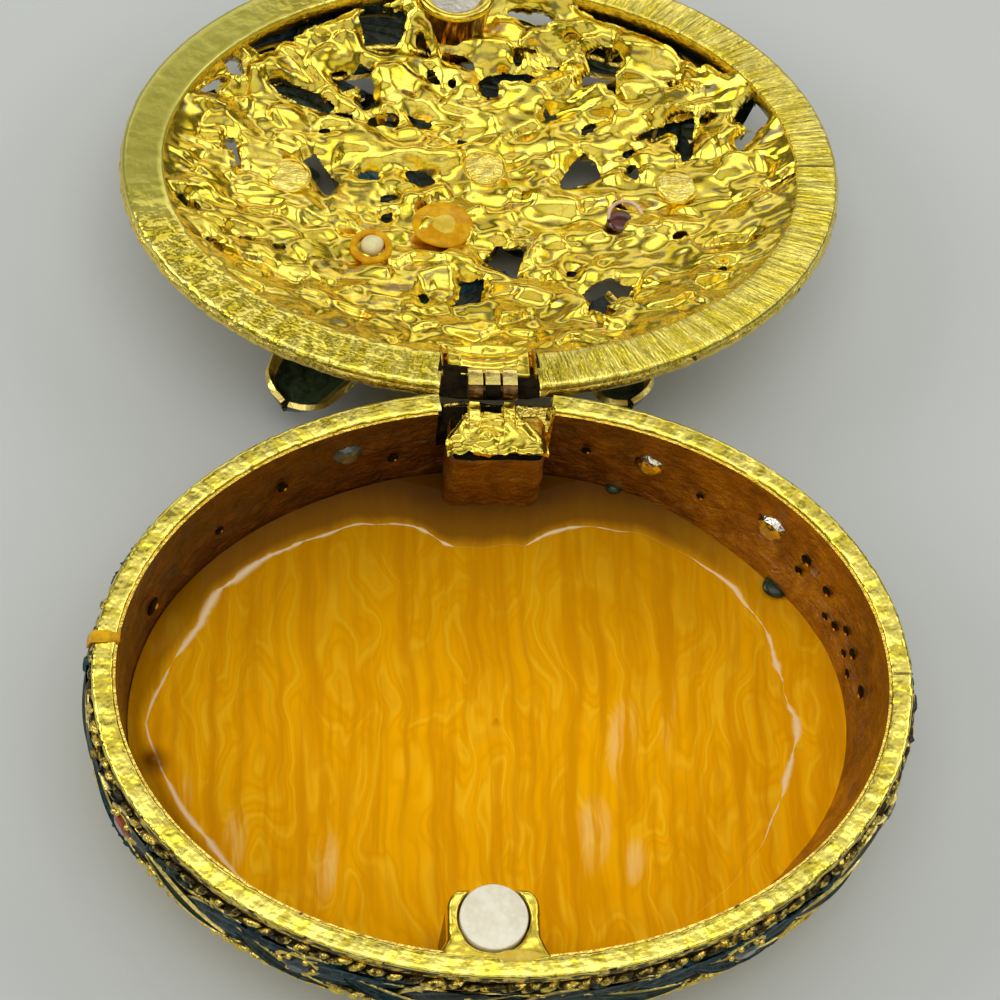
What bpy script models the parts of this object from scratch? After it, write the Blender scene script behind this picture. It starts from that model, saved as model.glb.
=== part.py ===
"""Oval cast trinket box with a hinged openwork lid, standing with the lid laid back open.

Metres, +Z up. The origin is the centre of the base's underside, +X runs along the long
axis and +Y points from the magnet clasp at the front to the hinge at the back.
"""
import math

import bmesh
import bpy
from mathutils import Matrix, Vector

MM = 0.001
FULL_TURN = 2 * math.pi

# Base: an oval bowl on a flat foot.
BASE_HALF_LENGTH = 33.0 * MM
BASE_HALF_WIDTH = 25.5 * MM
BASE_HEIGHT = 16.5 * MM
WALL_SEGMENTS = 48
GAP = 0.3 * MM
CUT_PAST = 3.0 * MM

# Outside of the base from the foot up: height, offset from the rim's outline, relief.
BASE_OUTSIDE = (
    (0.0, -7.2, "plain"), (0.8, -6.4, "flute"), (2.8, -5.4, "flute"), (5.0, -1.7, "flute"),
    (6.9, 0.0, "plain"), (7.5, 0.75, "twist_a"), (8.4, 0.75, "twist_b"), (9.0, 0.1, "plain"),
    (10.4, 0.3, "leaf"), (12.2, 0.3, "leaf"), (13.5, 0.05, "plain"), (14.0, 0.5, "twist_a"),
    (14.8, 0.5, "twist_b"), (15.2, 0.0, "plain"), (16.5, 0.0, "plain"),
)
# Inside of the base from the rim down to the metal floor.
BASE_INSIDE = (
    (16.5, -1.72), (14.8, -1.95), (6.6, -2.5), (4.4, -4.2), (3.0, -6.6),
)
TWIST_TOOTH = 0.15 * MM
LEAF_RELIEF = 0.45 * MM
FLUTE_RELIEF = 0.3 * MM
LEAF_COUNT = 12
LEAF_SLANT = 420.0
HINGE_CALM_START = 4.5 * MM
HINGE_CALM_END = 9.0 * MM

# Resin poured over the floor of the base: height and offset rows of its section.
RESIN_TOP = 5.6 * MM
RESIN_BOTTOM = 3.3 * MM
RESIN_ROWS = ((3.3, -6.5), (4.4, -4.6), (6.2, -3.05), (5.75, -3.7), (5.6, -4.6))

# Cast blocks that stand before the wall: heel from the resin up, as distance out and height.
BLOCK_HEEL = ((22.6 * MM, 5.5 * MM), (23.9 * MM, 7.5 * MM))
BLOCK_ROOT = 24.0 * MM

# Magnet clasp at the front, a little left of the middle.
CLASP_X = -1.6 * MM
CLASP_Y = -20.5 * MM
HOLDER_HALF_WIDTH = 3.7 * MM
HOLDER_BACK_Y = -18.2 * MM
HOLDER_TOP = 16.2 * MM
MAGNET_RADIUS = 2.7 * MM
MAGNET_THICKNESS = 1.6 * MM
MAGNET_TOP = 16.3 * MM
MAGNET_BEVEL = 0.2 * MM
LID_MAGNET_RADIUS = 2.6 * MM
POST_RADIUS = 3.45 * MM
POST_BORE = 2.9 * MM
POST_PROUD = 0.3 * MM
POST_BORE_DEPTH = 1.9 * MM
LID_POST_V = -20.2 * MM
POST_SIDES = 16

# Hinge: a three-knuckle barrel in a notch at the back.
HINGE_Y = 25.75 * MM
HINGE_Z = 16.06 * MM
LID_OPEN_ANGLE = math.radians(187.2)
BARREL_RADIUS = 0.8 * MM
BARREL_BORE = 0.5 * MM
PIN_RADIUS = 0.3 * MM
KNUCKLE_LENGTH = 1.3 * MM
KNUCKLE_PITCH = 1.45 * MM
BARREL_X = -0.25 * MM
KNUCKLE_SIDES = 10
KNUCKLE_INSET = 0.02 * MM
KNUCKLE_ROOT = 0.5 * MM
PIN_OVERHANG = 0.1 * MM
NOTCH_LEFT = -4.75 * MM
NOTCH_RIGHT = 4.8 * MM
NOTCH_FRONT = 24.4 * MM
NOTCH_FLOOR = 13.4 * MM
BLOCK_LEFT = -4.6 * MM
BLOCK_RIGHT = 3.8 * MM
BLOCK_FRONT = 19.3 * MM
BLOCK_TOP = 14.9 * MM
LEAF_PLATE_THICKNESS = 0.5 * MM
LEAF_PLATE_BOTTOM = 15.3 * MM

# Lid, in its own frame: x, v from its middle towards the hinge, h up from its flat rim.
LID_SHIFT = 0.58 * MM
LID_SEAT = BASE_HEIGHT + GAP
LID_HALF_LENGTH = 31.6 * MM
LID_HALF_WIDTH = 24.44 * MM
LID_FLAT = 3.62 * MM
LID_EDGE_HEIGHT = 1.7 * MM
DOME_RISE = 6.1 * MM
DISH_STEP = 0.6 * MM
DISH_DEPTH = 6.0 * MM
DOME_RIDGES = 12
DOME_RIDGE_HEIGHT = 0.4 * MM
LID_EDGE = ((0.0, 0.0, 0), (0.45, 0.1, 0), (0.8, 0.25, 1), (1.3, 0.25, -1), (1.7, -0.1, 0))
DOME_STATIONS = (0.97, 0.9, 0.78, 0.6, 0.38, 0.17)
DISH_STATIONS = (0.985, 0.92, 0.78, 0.58, 0.3)
TONGUE_FRONT = 18.9 * MM
TONGUE_BACK = 23.2 * MM
TONGUE_LEFT = -4.4 * MM
TONGUE_RIGHT = 3.7 * MM
TONGUE_FACE = 0.3 * MM
TONGUE_BED = 0.5 * MM
PLATE_MARGIN = 0.3 * MM
LID_NOTCH_HEIGHT = 3.4 * MM

# Openwork of the lid: middle x and v, half sizes along and across, turn in degrees.
OPENINGS = (
    (-8.3, -17.0, 2.6, 1.0, -8), (-19.6, -13.4, 1.6, 1.2, 35), (-24.2, -9.0, 2.0, 0.8, 50),
    (-10.0, -12.3, 1.3, 1.2, 20), (-14.8, -10.9, 3.2, 0.9, 8), (-8.2, -8.9, 1.6, 0.8, 0),
    (-13.6, -4.6, 1.5, 1.3, -35), (-6.0, -0.2, 1.2, 0.9, 15), (2.5, 5.4, 2.0, 1.7, 20),
    (-1.2, 9.8, 1.5, 1.6, 15), (10.8, 11.2, 1.9, 2.2, 10), (9.8, -6.0, 1.9, 1.4, 30),
    (12.2, -13.6, 1.7, 2.0, 0), (18.0, -6.6, 2.2, 1.2, -35), (25.0, -6.4, 1.6, 1.1, 60),
    (3.6, -13.4, 1.8, 0.9, 0), (-25.6, 3.8, 1.2, 0.8, -20), (22.0, -10.6, 1.0, 0.9, 0),
    (-4.9, 13.0, 0.9, 1.0, 0), (19.0, 9.4, 1.3, 0.8, -30), (-18.6, 7.6, 1.3, 0.8, 25),
)
OPENING_SIDES = 5
OPENING_TURN = 0.4
OPENING_SPAN = (0.9 * MM, 11.0 * MM)

# Blossoms riveted through the lid: name, x, v, petals, radius, direction of one notch.
BLOSSOMS = (
    ("blossom_left", -16.9, -1.8, 5, 6.5, -40.0),
    ("blossom_middle", 0.8, -4.4, 6, 7.5, 15.0),
    ("blossom_right", 17.9, -1.1, 5, 6.5, 228.0),
)
BLOSSOM_SEGMENTS_PER_PETAL = 4
BLOSSOM_STATIONS = (0.3, 0.55, 0.8, 1.0)
BLOSSOM_NOTCH = 0.5
PETAL_THICKNESS = 0.7 * MM
PETAL_START = 1.8 * MM
RIVET_HEAD_RADIUS = 1.9 * MM
RIVET_HEAD_THICKNESS = 0.55 * MM
STEM_RADIUS = 0.75 * MM
STEM_SIDES = 12
TABLE_CLEARANCE = 0.02 * MM

# Hollow-backed leaves: name, root x and v, tip x and v, half width, tip height.
LEAVES = (
    ("leaf_back_left", -9.2, 8.0, -17.4, 19.6, 4.3, 10.0),
    ("leaf_back_right", 9.6, 9.2, 13.0, 19.2, 3.6, 10.0),
    ("leaf_front_left", -8.6, -11.6, -18.6, -13.6, 2.6, 7.4),
    ("leaf_front_right", 8.8, -10.6, 19.6, -12.4, 2.6, 7.4),
)
LEAF_STATIONS = 6
LEAF_ACROSS = 4
LEAF_THICKNESS = 0.6 * MM
LEAF_CROWN = 1.3 * MM
LEAF_TIP_WIDTH = 0.35

# Cut stones.
STONE_SIDES = 8
PAVILION_SHARE = 0.62
TABLE_SHARE = 0.6
SIDE_STONE_ANGLES = (40.0, 66.0, 113.0, 150.0, 205.0, 240.0, 304.0, 338.0)
SIDE_STONE_HEIGHT = 11.3 * MM
SIDE_STONE_RADIUS = 1.45 * MM
SIDE_STONE_DEPTH = 1.5 * MM
COLLET_WALL = 0.45 * MM
COLLET_SPAN = (-1.2 * MM, 1.1 * MM)
STONE_HOLE = 1.1 * MM
STONE_HOLE_BACK = -4.5 * MM
STONE_SEAT = -0.3 * MM
SIDE_STONE_LIFT = 0.95 * MM
BLOSSOM_STONE_RADIUS = 1.5 * MM
BLOSSOM_STONE_DEPTH = 1.5 * MM
LID_STONES = (
    (-24.5, 0.5), (24.6, 2.2), (-12.5, -15.5), (3.6, -17.0), (14.8, 4.6), (-3.6, 5.6),
)
LID_STONE_RADIUS = 1.0 * MM
LID_STONE_DEPTH = 0.9 * MM
LID_STONE_LIFT = 0.75 * MM
SLOPE_STEP = 0.5 * MM


# ---------------------------------------------------------------- small helpers

def clear_scene():
    for item in list(bpy.data.objects):
        bpy.data.objects.remove(item, do_unlink=True)


def finish(name, colour, metallic, roughness, transmission=0.0):
    """One Principled material."""
    material = bpy.data.materials.new(name)
    material.use_nodes = True
    shader = material.node_tree.nodes["Principled BSDF"]
    shader.inputs["Base Color"].default_value = (*colour, 1.0)
    shader.inputs["Metallic"].default_value = metallic
    shader.inputs["Roughness"].default_value = roughness
    shader.inputs["Transmission Weight"].default_value = transmission
    return material


def piece(name, mesh_data, material, parent=None, smooth_angle=40.0):
    """Turn a bmesh into a named object with its own material."""
    bmesh.ops.recalc_face_normals(mesh_data, faces=mesh_data.faces)
    mesh = bpy.data.meshes.new(name)
    mesh_data.to_mesh(mesh)
    mesh_data.free()
    mesh.shade_smooth()
    mesh.set_sharp_from_angle(angle=math.radians(smooth_angle))
    mesh.materials.append(material)
    item = bpy.data.objects.new(name, mesh)
    bpy.context.scene.collection.objects.link(item)
    item.parent = parent
    return item


def guide(name, mesh_data, parent=None):
    """A hidden solid that a Boolean modifier reads."""
    item = piece(name, mesh_data, None, parent)
    item.hide_render = True
    item.display_type = "WIRE"
    return item


def boolean(target, operand, operation, solver="EXACT"):
    modifier = target.modifiers.new(operand.name, "BOOLEAN")
    modifier.operation = operation
    modifier.solver = solver
    modifier.object = operand


def skin(rings, first_pole, last_pole):
    """Close a stack of equal rings with a point at each end."""
    body = bmesh.new()
    rows = [[body.verts.new(point) for point in ring] for ring in rings]
    count = len(rows[0])
    for row, above in zip(rows, rows[1:]):
        for index in range(count):
            after = (index + 1) % count
            body.faces.new((row[index], row[after], above[after], above[index]))
    for row, pole in ((rows[0], first_pole), (rows[-1], last_pole)):
        tip = body.verts.new(pole)
        for index in range(count):
            body.faces.new((row[index], row[(index + 1) % count], tip))
    bmesh.ops.triangulate(body, faces=body.faces)
    return body


def turned(rows, sides, placing, start=0.0, tip=0.0):
    """A turned solid from radius and height rows; a tip lowers its bottom to a point."""
    rings = []
    for radius, height in rows:
        angles = [start + FULL_TURN * side / sides for side in range(sides)]
        rings.append([placing @ Vector((radius * math.cos(angle), radius * math.sin(angle), height))
                      for angle in angles])
    bottom = placing @ Vector((0, 0, rows[0][1] - tip))
    top = placing @ Vector((0, 0, rows[-1][1]))
    return skin(rings, bottom, top)


def add_turned(body, rows, sides, placing, start=0.0):
    """Add a turned solid to a body that holds several guides."""
    extra = turned(rows, sides, placing, start)
    copy = bpy.data.meshes.new("turned_part")
    extra.to_mesh(copy)
    extra.free()
    body.from_mesh(copy)
    bpy.data.meshes.remove(copy)


def add_prism(body, outline, near, far):
    """Extrude an outline of y and z along X."""
    ends = [[body.verts.new((x, y, z)) for y, z in outline] for x in (near, far)]
    body.faces.new(ends[0][::-1])
    body.faces.new(ends[1])
    for index in range(len(outline)):
        after = (index + 1) % len(outline)
        body.faces.new((ends[0][index], ends[0][after], ends[1][after], ends[1][index]))


def add_box(body, low, high):
    outline = ((low[1], low[2]), (high[1], low[2]), (high[1], high[2]), (low[1], high[2]))
    add_prism(body, outline, low[0], high[0])


def add_block(body, left, right, front, top):
    """Block before the wall at the front or the back, its heel buried in the wall."""
    side = math.copysign(1.0, front)
    heel = [(side * out, height) for out, height in BLOCK_HEEL]
    outline = [(front, BLOCK_HEEL[0][1])] + heel + [(side * BLOCK_ROOT, top), (front, top)]
    add_prism(body, outline, left, right)


def facing(origin, direction, roll=Vector((0, 0, 1))):
    """Matrix whose Z runs along the direction."""
    axis = direction.normalized()
    side = roll.cross(axis)
    if side.length < 1e-6:
        side = Vector((1, 0, 0))
    side.normalize()
    turn = Matrix((side, axis.cross(side), axis)).transposed().to_4x4()
    return Matrix.Translation(origin) @ turn


# ---------------------------------------------------------------- base

def hinge_calm(x, y):
    """0 beside the hinge, 1 away from it, so relief leaves room for the lid."""
    if y < 0:
        return 1.0
    share = (abs(x) - HINGE_CALM_START) / (HINGE_CALM_END - HINGE_CALM_START)
    return min(1.0, max(0.0, share))


def base_relief(kind, index, angle, height, calm):
    if kind in ("twist_a", "twist_b"):
        side = 1 if (index % 2 == 0) == (kind == "twist_a") else -1
        return side * TWIST_TOOTH * calm
    if kind == "leaf":
        return LEAF_RELIEF * calm * abs(math.sin(LEAF_COUNT * angle / 2 + LEAF_SLANT * height))
    if kind == "flute":
        return -FLUTE_RELIEF * abs(math.cos(LEAF_COUNT * angle / 2))
    return 0.0


def oval(half_length, half_width, angle, height):
    return Vector((half_length * math.cos(angle), half_width * math.sin(angle), height))


def base_ring(height, offset, kind="plain"):
    ring = []
    for index in range(WALL_SEGMENTS):
        angle = FULL_TURN * index / WALL_SEGMENTS
        calm = hinge_calm(BASE_HALF_LENGTH * math.cos(angle), math.sin(angle))
        out = min(offset, 0.0) + max(offset, 0.0) * calm
        out += base_relief(kind, index, angle, height, calm)
        ring.append(oval(BASE_HALF_LENGTH + out, BASE_HALF_WIDTH + out, angle, height))
    return ring


def side_stone_frame(angle):
    """Seat of a stone on the frieze, looking outwards."""
    point = oval(BASE_HALF_LENGTH, BASE_HALF_WIDTH, angle, SIDE_STONE_HEIGHT)
    outward = Vector((math.cos(angle) / BASE_HALF_LENGTH, math.sin(angle) / BASE_HALF_WIDTH, 0))
    return facing(point, outward)


def base_additions():
    """Hinge block, clasp holder and stone collets, cast in one with the bowl."""
    body = bmesh.new()
    add_block(body, BLOCK_LEFT, BLOCK_RIGHT, BLOCK_FRONT, BLOCK_TOP)
    add_block(body, CLASP_X - HOLDER_HALF_WIDTH, CLASP_X + HOLDER_HALF_WIDTH,
              HOLDER_BACK_Y, HOLDER_TOP)
    outer = SIDE_STONE_RADIUS + GAP + COLLET_WALL
    rows = [(outer, height) for height in COLLET_SPAN]
    for degrees in SIDE_STONE_ANGLES:
        add_turned(body, rows, STONE_SIDES, side_stone_frame(math.radians(degrees)))
    return guide("base_additions_guide", body)


def rim_notch():
    """Gap in the rim over the hinge block."""
    body = bmesh.new()
    add_box(body, (NOTCH_LEFT, BLOCK_FRONT, BLOCK_TOP),
            (NOTCH_RIGHT, BASE_HALF_WIDTH + CUT_PAST, BASE_HEIGHT + CUT_PAST))
    return guide("rim_notch_guide", body)


def base_cuts():
    """Pocket for the barrel, magnet pocket and the seats and light holes of the stones."""
    body = bmesh.new()
    add_box(body, (NOTCH_LEFT, NOTCH_FRONT, NOTCH_FLOOR),
            (NOTCH_RIGHT, BASE_HALF_WIDTH + CUT_PAST, BASE_HEIGHT + CUT_PAST))
    pocket = MAGNET_RADIUS + GAP
    floor = MAGNET_TOP - MAGNET_THICKNESS - GAP
    add_turned(body, ((pocket, floor), (pocket, BASE_HEIGHT + CUT_PAST)), POST_SIDES,
               Matrix.Translation((CLASP_X, CLASP_Y, 0)))
    seat = SIDE_STONE_RADIUS + GAP
    rows = ((STONE_HOLE, STONE_HOLE_BACK), (STONE_HOLE, STONE_SEAT), (seat, STONE_SEAT), (seat, CUT_PAST))
    for degrees in SIDE_STONE_ANGLES:
        add_turned(body, rows, STONE_SIDES, side_stone_frame(math.radians(degrees)))
    return guide("base_cuts_guide", body)


def make_base():
    outside = [base_ring(z * MM, off * MM, kind) for z, off, kind in BASE_OUTSIDE]
    inside = [base_ring(z * MM, off * MM) for z, off in BASE_INSIDE]
    floor = BASE_INSIDE[-1][0] * MM
    body = skin(outside + inside, Vector((0, 0, 0)), Vector((0, 0, floor)))
    shell = piece("base_shell", body, finish("gold_plated_casting", (0.83, 0.56, 0.10), 1.0, 0.22))
    boolean(shell, base_additions(), "UNION")
    boolean(shell, rim_notch(), "DIFFERENCE")
    boolean(shell, base_cuts(), "DIFFERENCE")
    return shell


def make_resin():
    """Resin pool that creeps a little up the wall and round the two cast blocks."""
    rings = [base_ring(z * MM, off * MM) for z, off in RESIN_ROWS]
    body = skin(rings, Vector((0, 0, RESIN_BOTTOM)), Vector((0, 0, RESIN_TOP)))
    resin = piece("resin_floor", body, finish("pearly_amber_resin", (0.72, 0.33, 0.02), 0.0, 0.12))
    cuts = bmesh.new()
    add_box(cuts, (BLOCK_LEFT - GAP, BLOCK_FRONT - GAP, 0), (BLOCK_RIGHT + GAP, HINGE_Y, BLOCK_TOP))
    add_box(cuts, (CLASP_X - HOLDER_HALF_WIDTH - GAP, -BASE_HALF_WIDTH, 0),
            (CLASP_X + HOLDER_HALF_WIDTH + GAP, HOLDER_BACK_Y + GAP, BLOCK_TOP))
    boolean(resin, guide("resin_cuts_guide", cuts), "DIFFERENCE")


def magnet_rows(radius, bottom, top):
    return ((radius - MAGNET_BEVEL, bottom), (radius, bottom + MAGNET_BEVEL),
            (radius, top - MAGNET_BEVEL), (radius - MAGNET_BEVEL, top))


def make_base_magnet():
    rows = magnet_rows(MAGNET_RADIUS, MAGNET_TOP - MAGNET_THICKNESS, MAGNET_TOP)
    body = turned(rows, POST_SIDES, Matrix.Translation((CLASP_X, CLASP_Y, 0)))
    piece("base_magnet", body, finish("nickel_magnet", (0.62, 0.58, 0.52), 0.9, 0.4))


# ---------------------------------------------------------------- hinge

def knuckle_span(index):
    middle = BARREL_X + (index - 1) * KNUCKLE_PITCH
    return middle - KNUCKLE_LENGTH / 2, middle + KNUCKLE_LENGTH / 2


def add_knuckle(body, span, low, high, reach):
    """Bored barrel of a knuckle with an arm between two heights, out to its reach."""
    start = -math.pi + math.asin(-low / BARREL_RADIUS)
    end = math.pi - math.asin(high / BARREL_RADIUS)
    outline = []
    bore = []
    for side in range(KNUCKLE_SIDES + 1):
        angle = start + (end - start) * side / KNUCKLE_SIDES
        outline.append((BARREL_RADIUS * math.cos(angle), BARREL_RADIUS * math.sin(angle)))
        bore.append((BARREL_BORE * math.cos(angle), BARREL_BORE * math.sin(angle)))
    rest = start + FULL_TURN - end
    for share, height in ((1 / 3, high), (2 / 3, low)):
        angle = end + rest * share
        outline.append((reach, height))
        bore.append((BARREL_BORE * math.cos(angle), BARREL_BORE * math.sin(angle)))
    loops = [[body.verts.new((x, y, z)) for y, z in loop] for x in span for loop in (outline, bore)]
    near_outer, near_inner, far_outer, far_inner = loops
    for index in range(len(outline)):
        after = (index + 1) % len(outline)
        body.faces.new((near_outer[index], near_outer[after], far_outer[after], far_outer[index]))
        body.faces.new((near_inner[after], near_inner[index], far_inner[index], far_inner[after]))
        body.faces.new((near_outer[after], near_outer[index], near_inner[index], near_inner[after]))
        body.faces.new((far_outer[index], far_outer[after], far_inner[after], far_inner[index]))


def make_base_hinge():
    """Leaf plate on the cast block with the two outer knuckles."""
    plate = bmesh.new()
    top = LEAF_PLATE_BOTTOM + LEAF_PLATE_THICKNESS
    back = NOTCH_FRONT - GAP
    add_box(plate, (BLOCK_LEFT + PLATE_MARGIN, BLOCK_FRONT, LEAF_PLATE_BOTTOM),
            (BLOCK_RIGHT - PLATE_MARGIN, back, top))
    knuckles = bmesh.new()
    reach = back - KNUCKLE_ROOT - HINGE_Y
    low = LEAF_PLATE_BOTTOM + KNUCKLE_INSET - HINGE_Z
    high = top - KNUCKLE_INSET - HINGE_Z
    for index in (0, 2):
        add_knuckle(knuckles, knuckle_span(index), low, high, reach)
    bmesh.ops.translate(knuckles, vec=(0, HINGE_Y, HINGE_Z), verts=knuckles.verts)
    leaf = piece("base_hinge_leaf", plate, finish("gold_hinge_plate", (0.86, 0.62, 0.14), 1.0, 0.2))
    boolean(leaf, guide("base_knuckles_guide", knuckles), "UNION")


def make_pin():
    start = knuckle_span(0)[0] - PIN_OVERHANG
    end = knuckle_span(2)[1] + PIN_OVERHANG
    placing = facing(Vector((start, HINGE_Y, HINGE_Z)), Vector((1, 0, 0)))
    body = turned(((PIN_RADIUS, 0.0), (PIN_RADIUS, end - start)), KNUCKLE_SIDES, placing)
    piece("hinge_pin", body, finish("steel_pin", (0.45, 0.42, 0.36), 1.0, 0.35))


# ---------------------------------------------------------------- lid

def lid_point(x, v, h):
    """A point of the closed lid, measured from the hinge axis."""
    return Vector((x, v + LID_SHIFT - HINGE_Y, LID_SEAT + h - HINGE_Z))


def dish_height(x, v):
    share = min(1.0, math.hypot(x / (LID_HALF_LENGTH - LID_FLAT), v / (LID_HALF_WIDTH - LID_FLAT)))
    return DISH_STEP + DISH_DEPTH * (1 - share ** 3) ** 0.6


def dome_height(x, v):
    share = min(1.0, math.hypot(x / LID_HALF_LENGTH, v / LID_HALF_WIDTH))
    return LID_EDGE_HEIGHT + DOME_RISE * (1 - share ** 2.4) ** 0.75


def wall_middle(x, v):
    return (dish_height(x, v) + dome_height(x, v)) / 2


def table_height(v):
    """Height over the flat rim at which the open lid meets the table."""
    drop = math.sin(LID_OPEN_ANGLE - math.pi)
    rise = math.cos(LID_OPEN_ANGLE - math.pi)
    back = v + LID_SHIFT - HINGE_Y
    return (HINGE_Z + drop * back) / rise + HINGE_Z - LID_SEAT


def lid_oval(half_length, half_width, height_rule):
    ring = []
    for index in range(WALL_SEGMENTS):
        angle = FULL_TURN * index / WALL_SEGMENTS
        x = half_length * math.cos(angle)
        v = half_width * math.sin(angle)
        ring.append(lid_point(x, v, height_rule(x, v, index, angle)))
    return ring


def lid_rings():
    rings = []
    for station in DOME_STATIONS[::-1]:
        def dome_rule(x, v, index, angle, station=station):
            swell = math.sin(math.pi * station ** 1.4)
            ridge = DOME_RIDGE_HEIGHT * swell * abs(math.sin(DOME_RIDGES * angle / 2))
            return dome_height(x, v) + ridge
        rings.append(lid_oval(LID_HALF_LENGTH * station, LID_HALF_WIDTH * station, dome_rule))
    for height, offset, tooth in LID_EDGE[::-1]:
        ring = []
        for index in range(WALL_SEGMENTS):
            angle = FULL_TURN * index / WALL_SEGMENTS
            out = offset * MM + TWIST_TOOTH * tooth * (1 if index % 2 else -1)
            if abs(LID_HALF_LENGTH * math.cos(angle)) < HINGE_CALM_END and math.sin(angle) > 0:
                out = 0.0
            ring.append(lid_point((LID_HALF_LENGTH + out) * math.cos(angle),
                                  (LID_HALF_WIDTH + out) * math.sin(angle), height * MM))
        rings.append(ring)
    inner_length = LID_HALF_LENGTH - LID_FLAT
    inner_width = LID_HALF_WIDTH - LID_FLAT
    rings.append(lid_oval(inner_length, inner_width, lambda x, v, index, angle: 0.0))
    for station in DISH_STATIONS:
        rings.append(lid_oval(inner_length * station, inner_width * station,
                              lambda x, v, index, angle: dish_height(x, v)))
    return rings


def heights_round(rule, x, v, reach):
    """Heights of the dome or the dish on a circle round a point."""
    angles = [FULL_TURN * step / 8 for step in range(8)]
    return [rule(x + reach * math.cos(angle), v + reach * math.sin(angle)) for angle in angles]


def seat_height(x, v):
    """Height at which a blossom's flat middle clears the dome all round."""
    lean = PETAL_START * math.tan(LID_OPEN_ANGLE - math.pi)
    return max(heights_round(dome_height, x, v, PETAL_START)) + DOME_RIDGE_HEIGHT + GAP + lean


def blossom_frame(x, v):
    """Seat of a blossom: upright on the table when the lid lies open."""
    tilt = LID_OPEN_ANGLE - math.pi
    axis = Vector((0, -math.sin(tilt), math.cos(tilt)))
    return facing(lid_point(x, v, seat_height(x, v)), axis, Vector((0, 1, 0)))


def lid_additions(hinge):
    """Magnet post and hinge tongue, cast in one with the lid and rooted inside its wall."""
    foot, root = [], []
    for side in range(POST_SIDES):
        angle = FULL_TURN * side / POST_SIDES
        x = CLASP_X + POST_RADIUS * math.cos(angle)
        v = LID_POST_V + POST_RADIUS * math.sin(angle)
        foot.append(lid_point(x, v, -POST_PROUD))
        root.append(lid_point(x, v, wall_middle(x, v)))
    body = skin([foot, root], lid_point(CLASP_X, LID_POST_V, -POST_PROUD),
                lid_point(CLASP_X, LID_POST_V, wall_middle(CLASP_X, LID_POST_V)))
    outline = [(TONGUE_FRONT, TONGUE_FACE), (TONGUE_BACK, TONGUE_FACE),
               (TONGUE_BACK, wall_middle(0, TONGUE_BACK)), (TONGUE_FRONT, wall_middle(0, TONGUE_FRONT))]
    points = [lid_point(0, v, h) for v, h in outline]
    add_prism(body, [(point.y, point.z) for point in points], TONGUE_LEFT, TONGUE_RIGHT)
    return guide("lid_additions_guide", body, hinge)


def lid_openwork(hinge):
    body = bmesh.new()
    rows = [(MM, height) for height in OPENING_SPAN]
    for x, v, along, across, turn in OPENINGS:
        place = Matrix.Translation(lid_point(x * MM, v * MM, 0))
        turn_round = Matrix.Rotation(math.radians(turn), 4, "Z")
        stretch = Matrix.Diagonal((along, across, 1.0, 1.0))
        add_turned(body, rows, OPENING_SIDES, place @ turn_round @ stretch, start=OPENING_TURN)
    return guide("lid_openwork_guide", body, hinge)


def lid_bores(hinge):
    """Rivet holes, the bore of the magnet post and the notch for the barrel."""
    body = bmesh.new()
    hole = STEM_RADIUS + GAP
    for name, x, v, petals, radius, notch in BLOSSOMS:
        add_turned(body, ((hole, -4 * MM), (hole, MM)), STEM_SIDES, blossom_frame(x * MM, v * MM))
    placing = Matrix.Translation(lid_point(CLASP_X, LID_POST_V, 0))
    add_turned(body, ((POST_BORE, -CUT_PAST), (POST_BORE, POST_BORE_DEPTH)), POST_SIDES, placing)
    add_box(body, lid_point(TONGUE_LEFT, TONGUE_BACK, -CUT_PAST),
            lid_point(TONGUE_RIGHT, LID_HALF_WIDTH + CUT_PAST, LID_NOTCH_HEIGHT))
    return guide("lid_bores_guide", body, hinge)


def lid_recess(hinge):
    """Bed of the hinge's leaf plate in the tongue."""
    body = bmesh.new()
    add_box(body, lid_point(TONGUE_LEFT + PLATE_MARGIN, TONGUE_FRONT - GAP, -CUT_PAST),
            lid_point(TONGUE_RIGHT - PLATE_MARGIN, TONGUE_BACK + CUT_PAST, TONGUE_BED))
    return guide("lid_recess_guide", body, hinge)


def make_lid(hinge):
    rings = lid_rings()
    body = skin(rings, lid_point(0, 0, dome_height(0, 0)), lid_point(0, 0, dish_height(0, 0)))
    gold = finish("gold_openwork_casting", (0.85, 0.60, 0.10), 1.0, 0.2)
    shell = piece("lid_shell", body, gold, hinge)
    boolean(shell, lid_additions(hinge), "UNION")
    boolean(shell, lid_openwork(hinge), "DIFFERENCE")
    boolean(shell, lid_bores(hinge), "DIFFERENCE")
    boolean(shell, lid_recess(hinge), "DIFFERENCE", "MANIFOLD")


def make_lid_magnet(hinge):
    placing = Matrix.Translation(lid_point(CLASP_X, LID_POST_V, 0))
    rows = magnet_rows(LID_MAGNET_RADIUS, 0.0, MAGNET_THICKNESS)
    nickel = finish("lid_magnet_nickel", (0.62, 0.58, 0.52), 0.9, 0.4)
    piece("lid_magnet", turned(rows, POST_SIDES, placing), nickel, hinge)


def make_lid_hinge(hinge):
    """Leaf plate under the lid's tongue with the middle knuckle."""
    plate = bmesh.new()
    face = TONGUE_BED - GAP
    low = lid_point(TONGUE_LEFT + 2 * PLATE_MARGIN, TONGUE_FRONT, face - LEAF_PLATE_THICKNESS)
    high = lid_point(TONGUE_RIGHT - 2 * PLATE_MARGIN, TONGUE_BACK, face)
    add_box(plate, low, high)
    knuckle = bmesh.new()
    bottom = low.z + KNUCKLE_INSET
    top = min(high.z - KNUCKLE_INSET, 0.95 * BARREL_RADIUS)
    add_knuckle(knuckle, knuckle_span(1), bottom, top, high.y - KNUCKLE_ROOT)
    gold = finish("gold_lid_hinge_plate", (0.86, 0.62, 0.14), 1.0, 0.2)
    leaf = piece("lid_hinge_leaf", plate, gold, hinge)
    boolean(leaf, guide("lid_knuckle_guide", knuckle, hinge), "UNION", "MANIFOLD")


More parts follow.
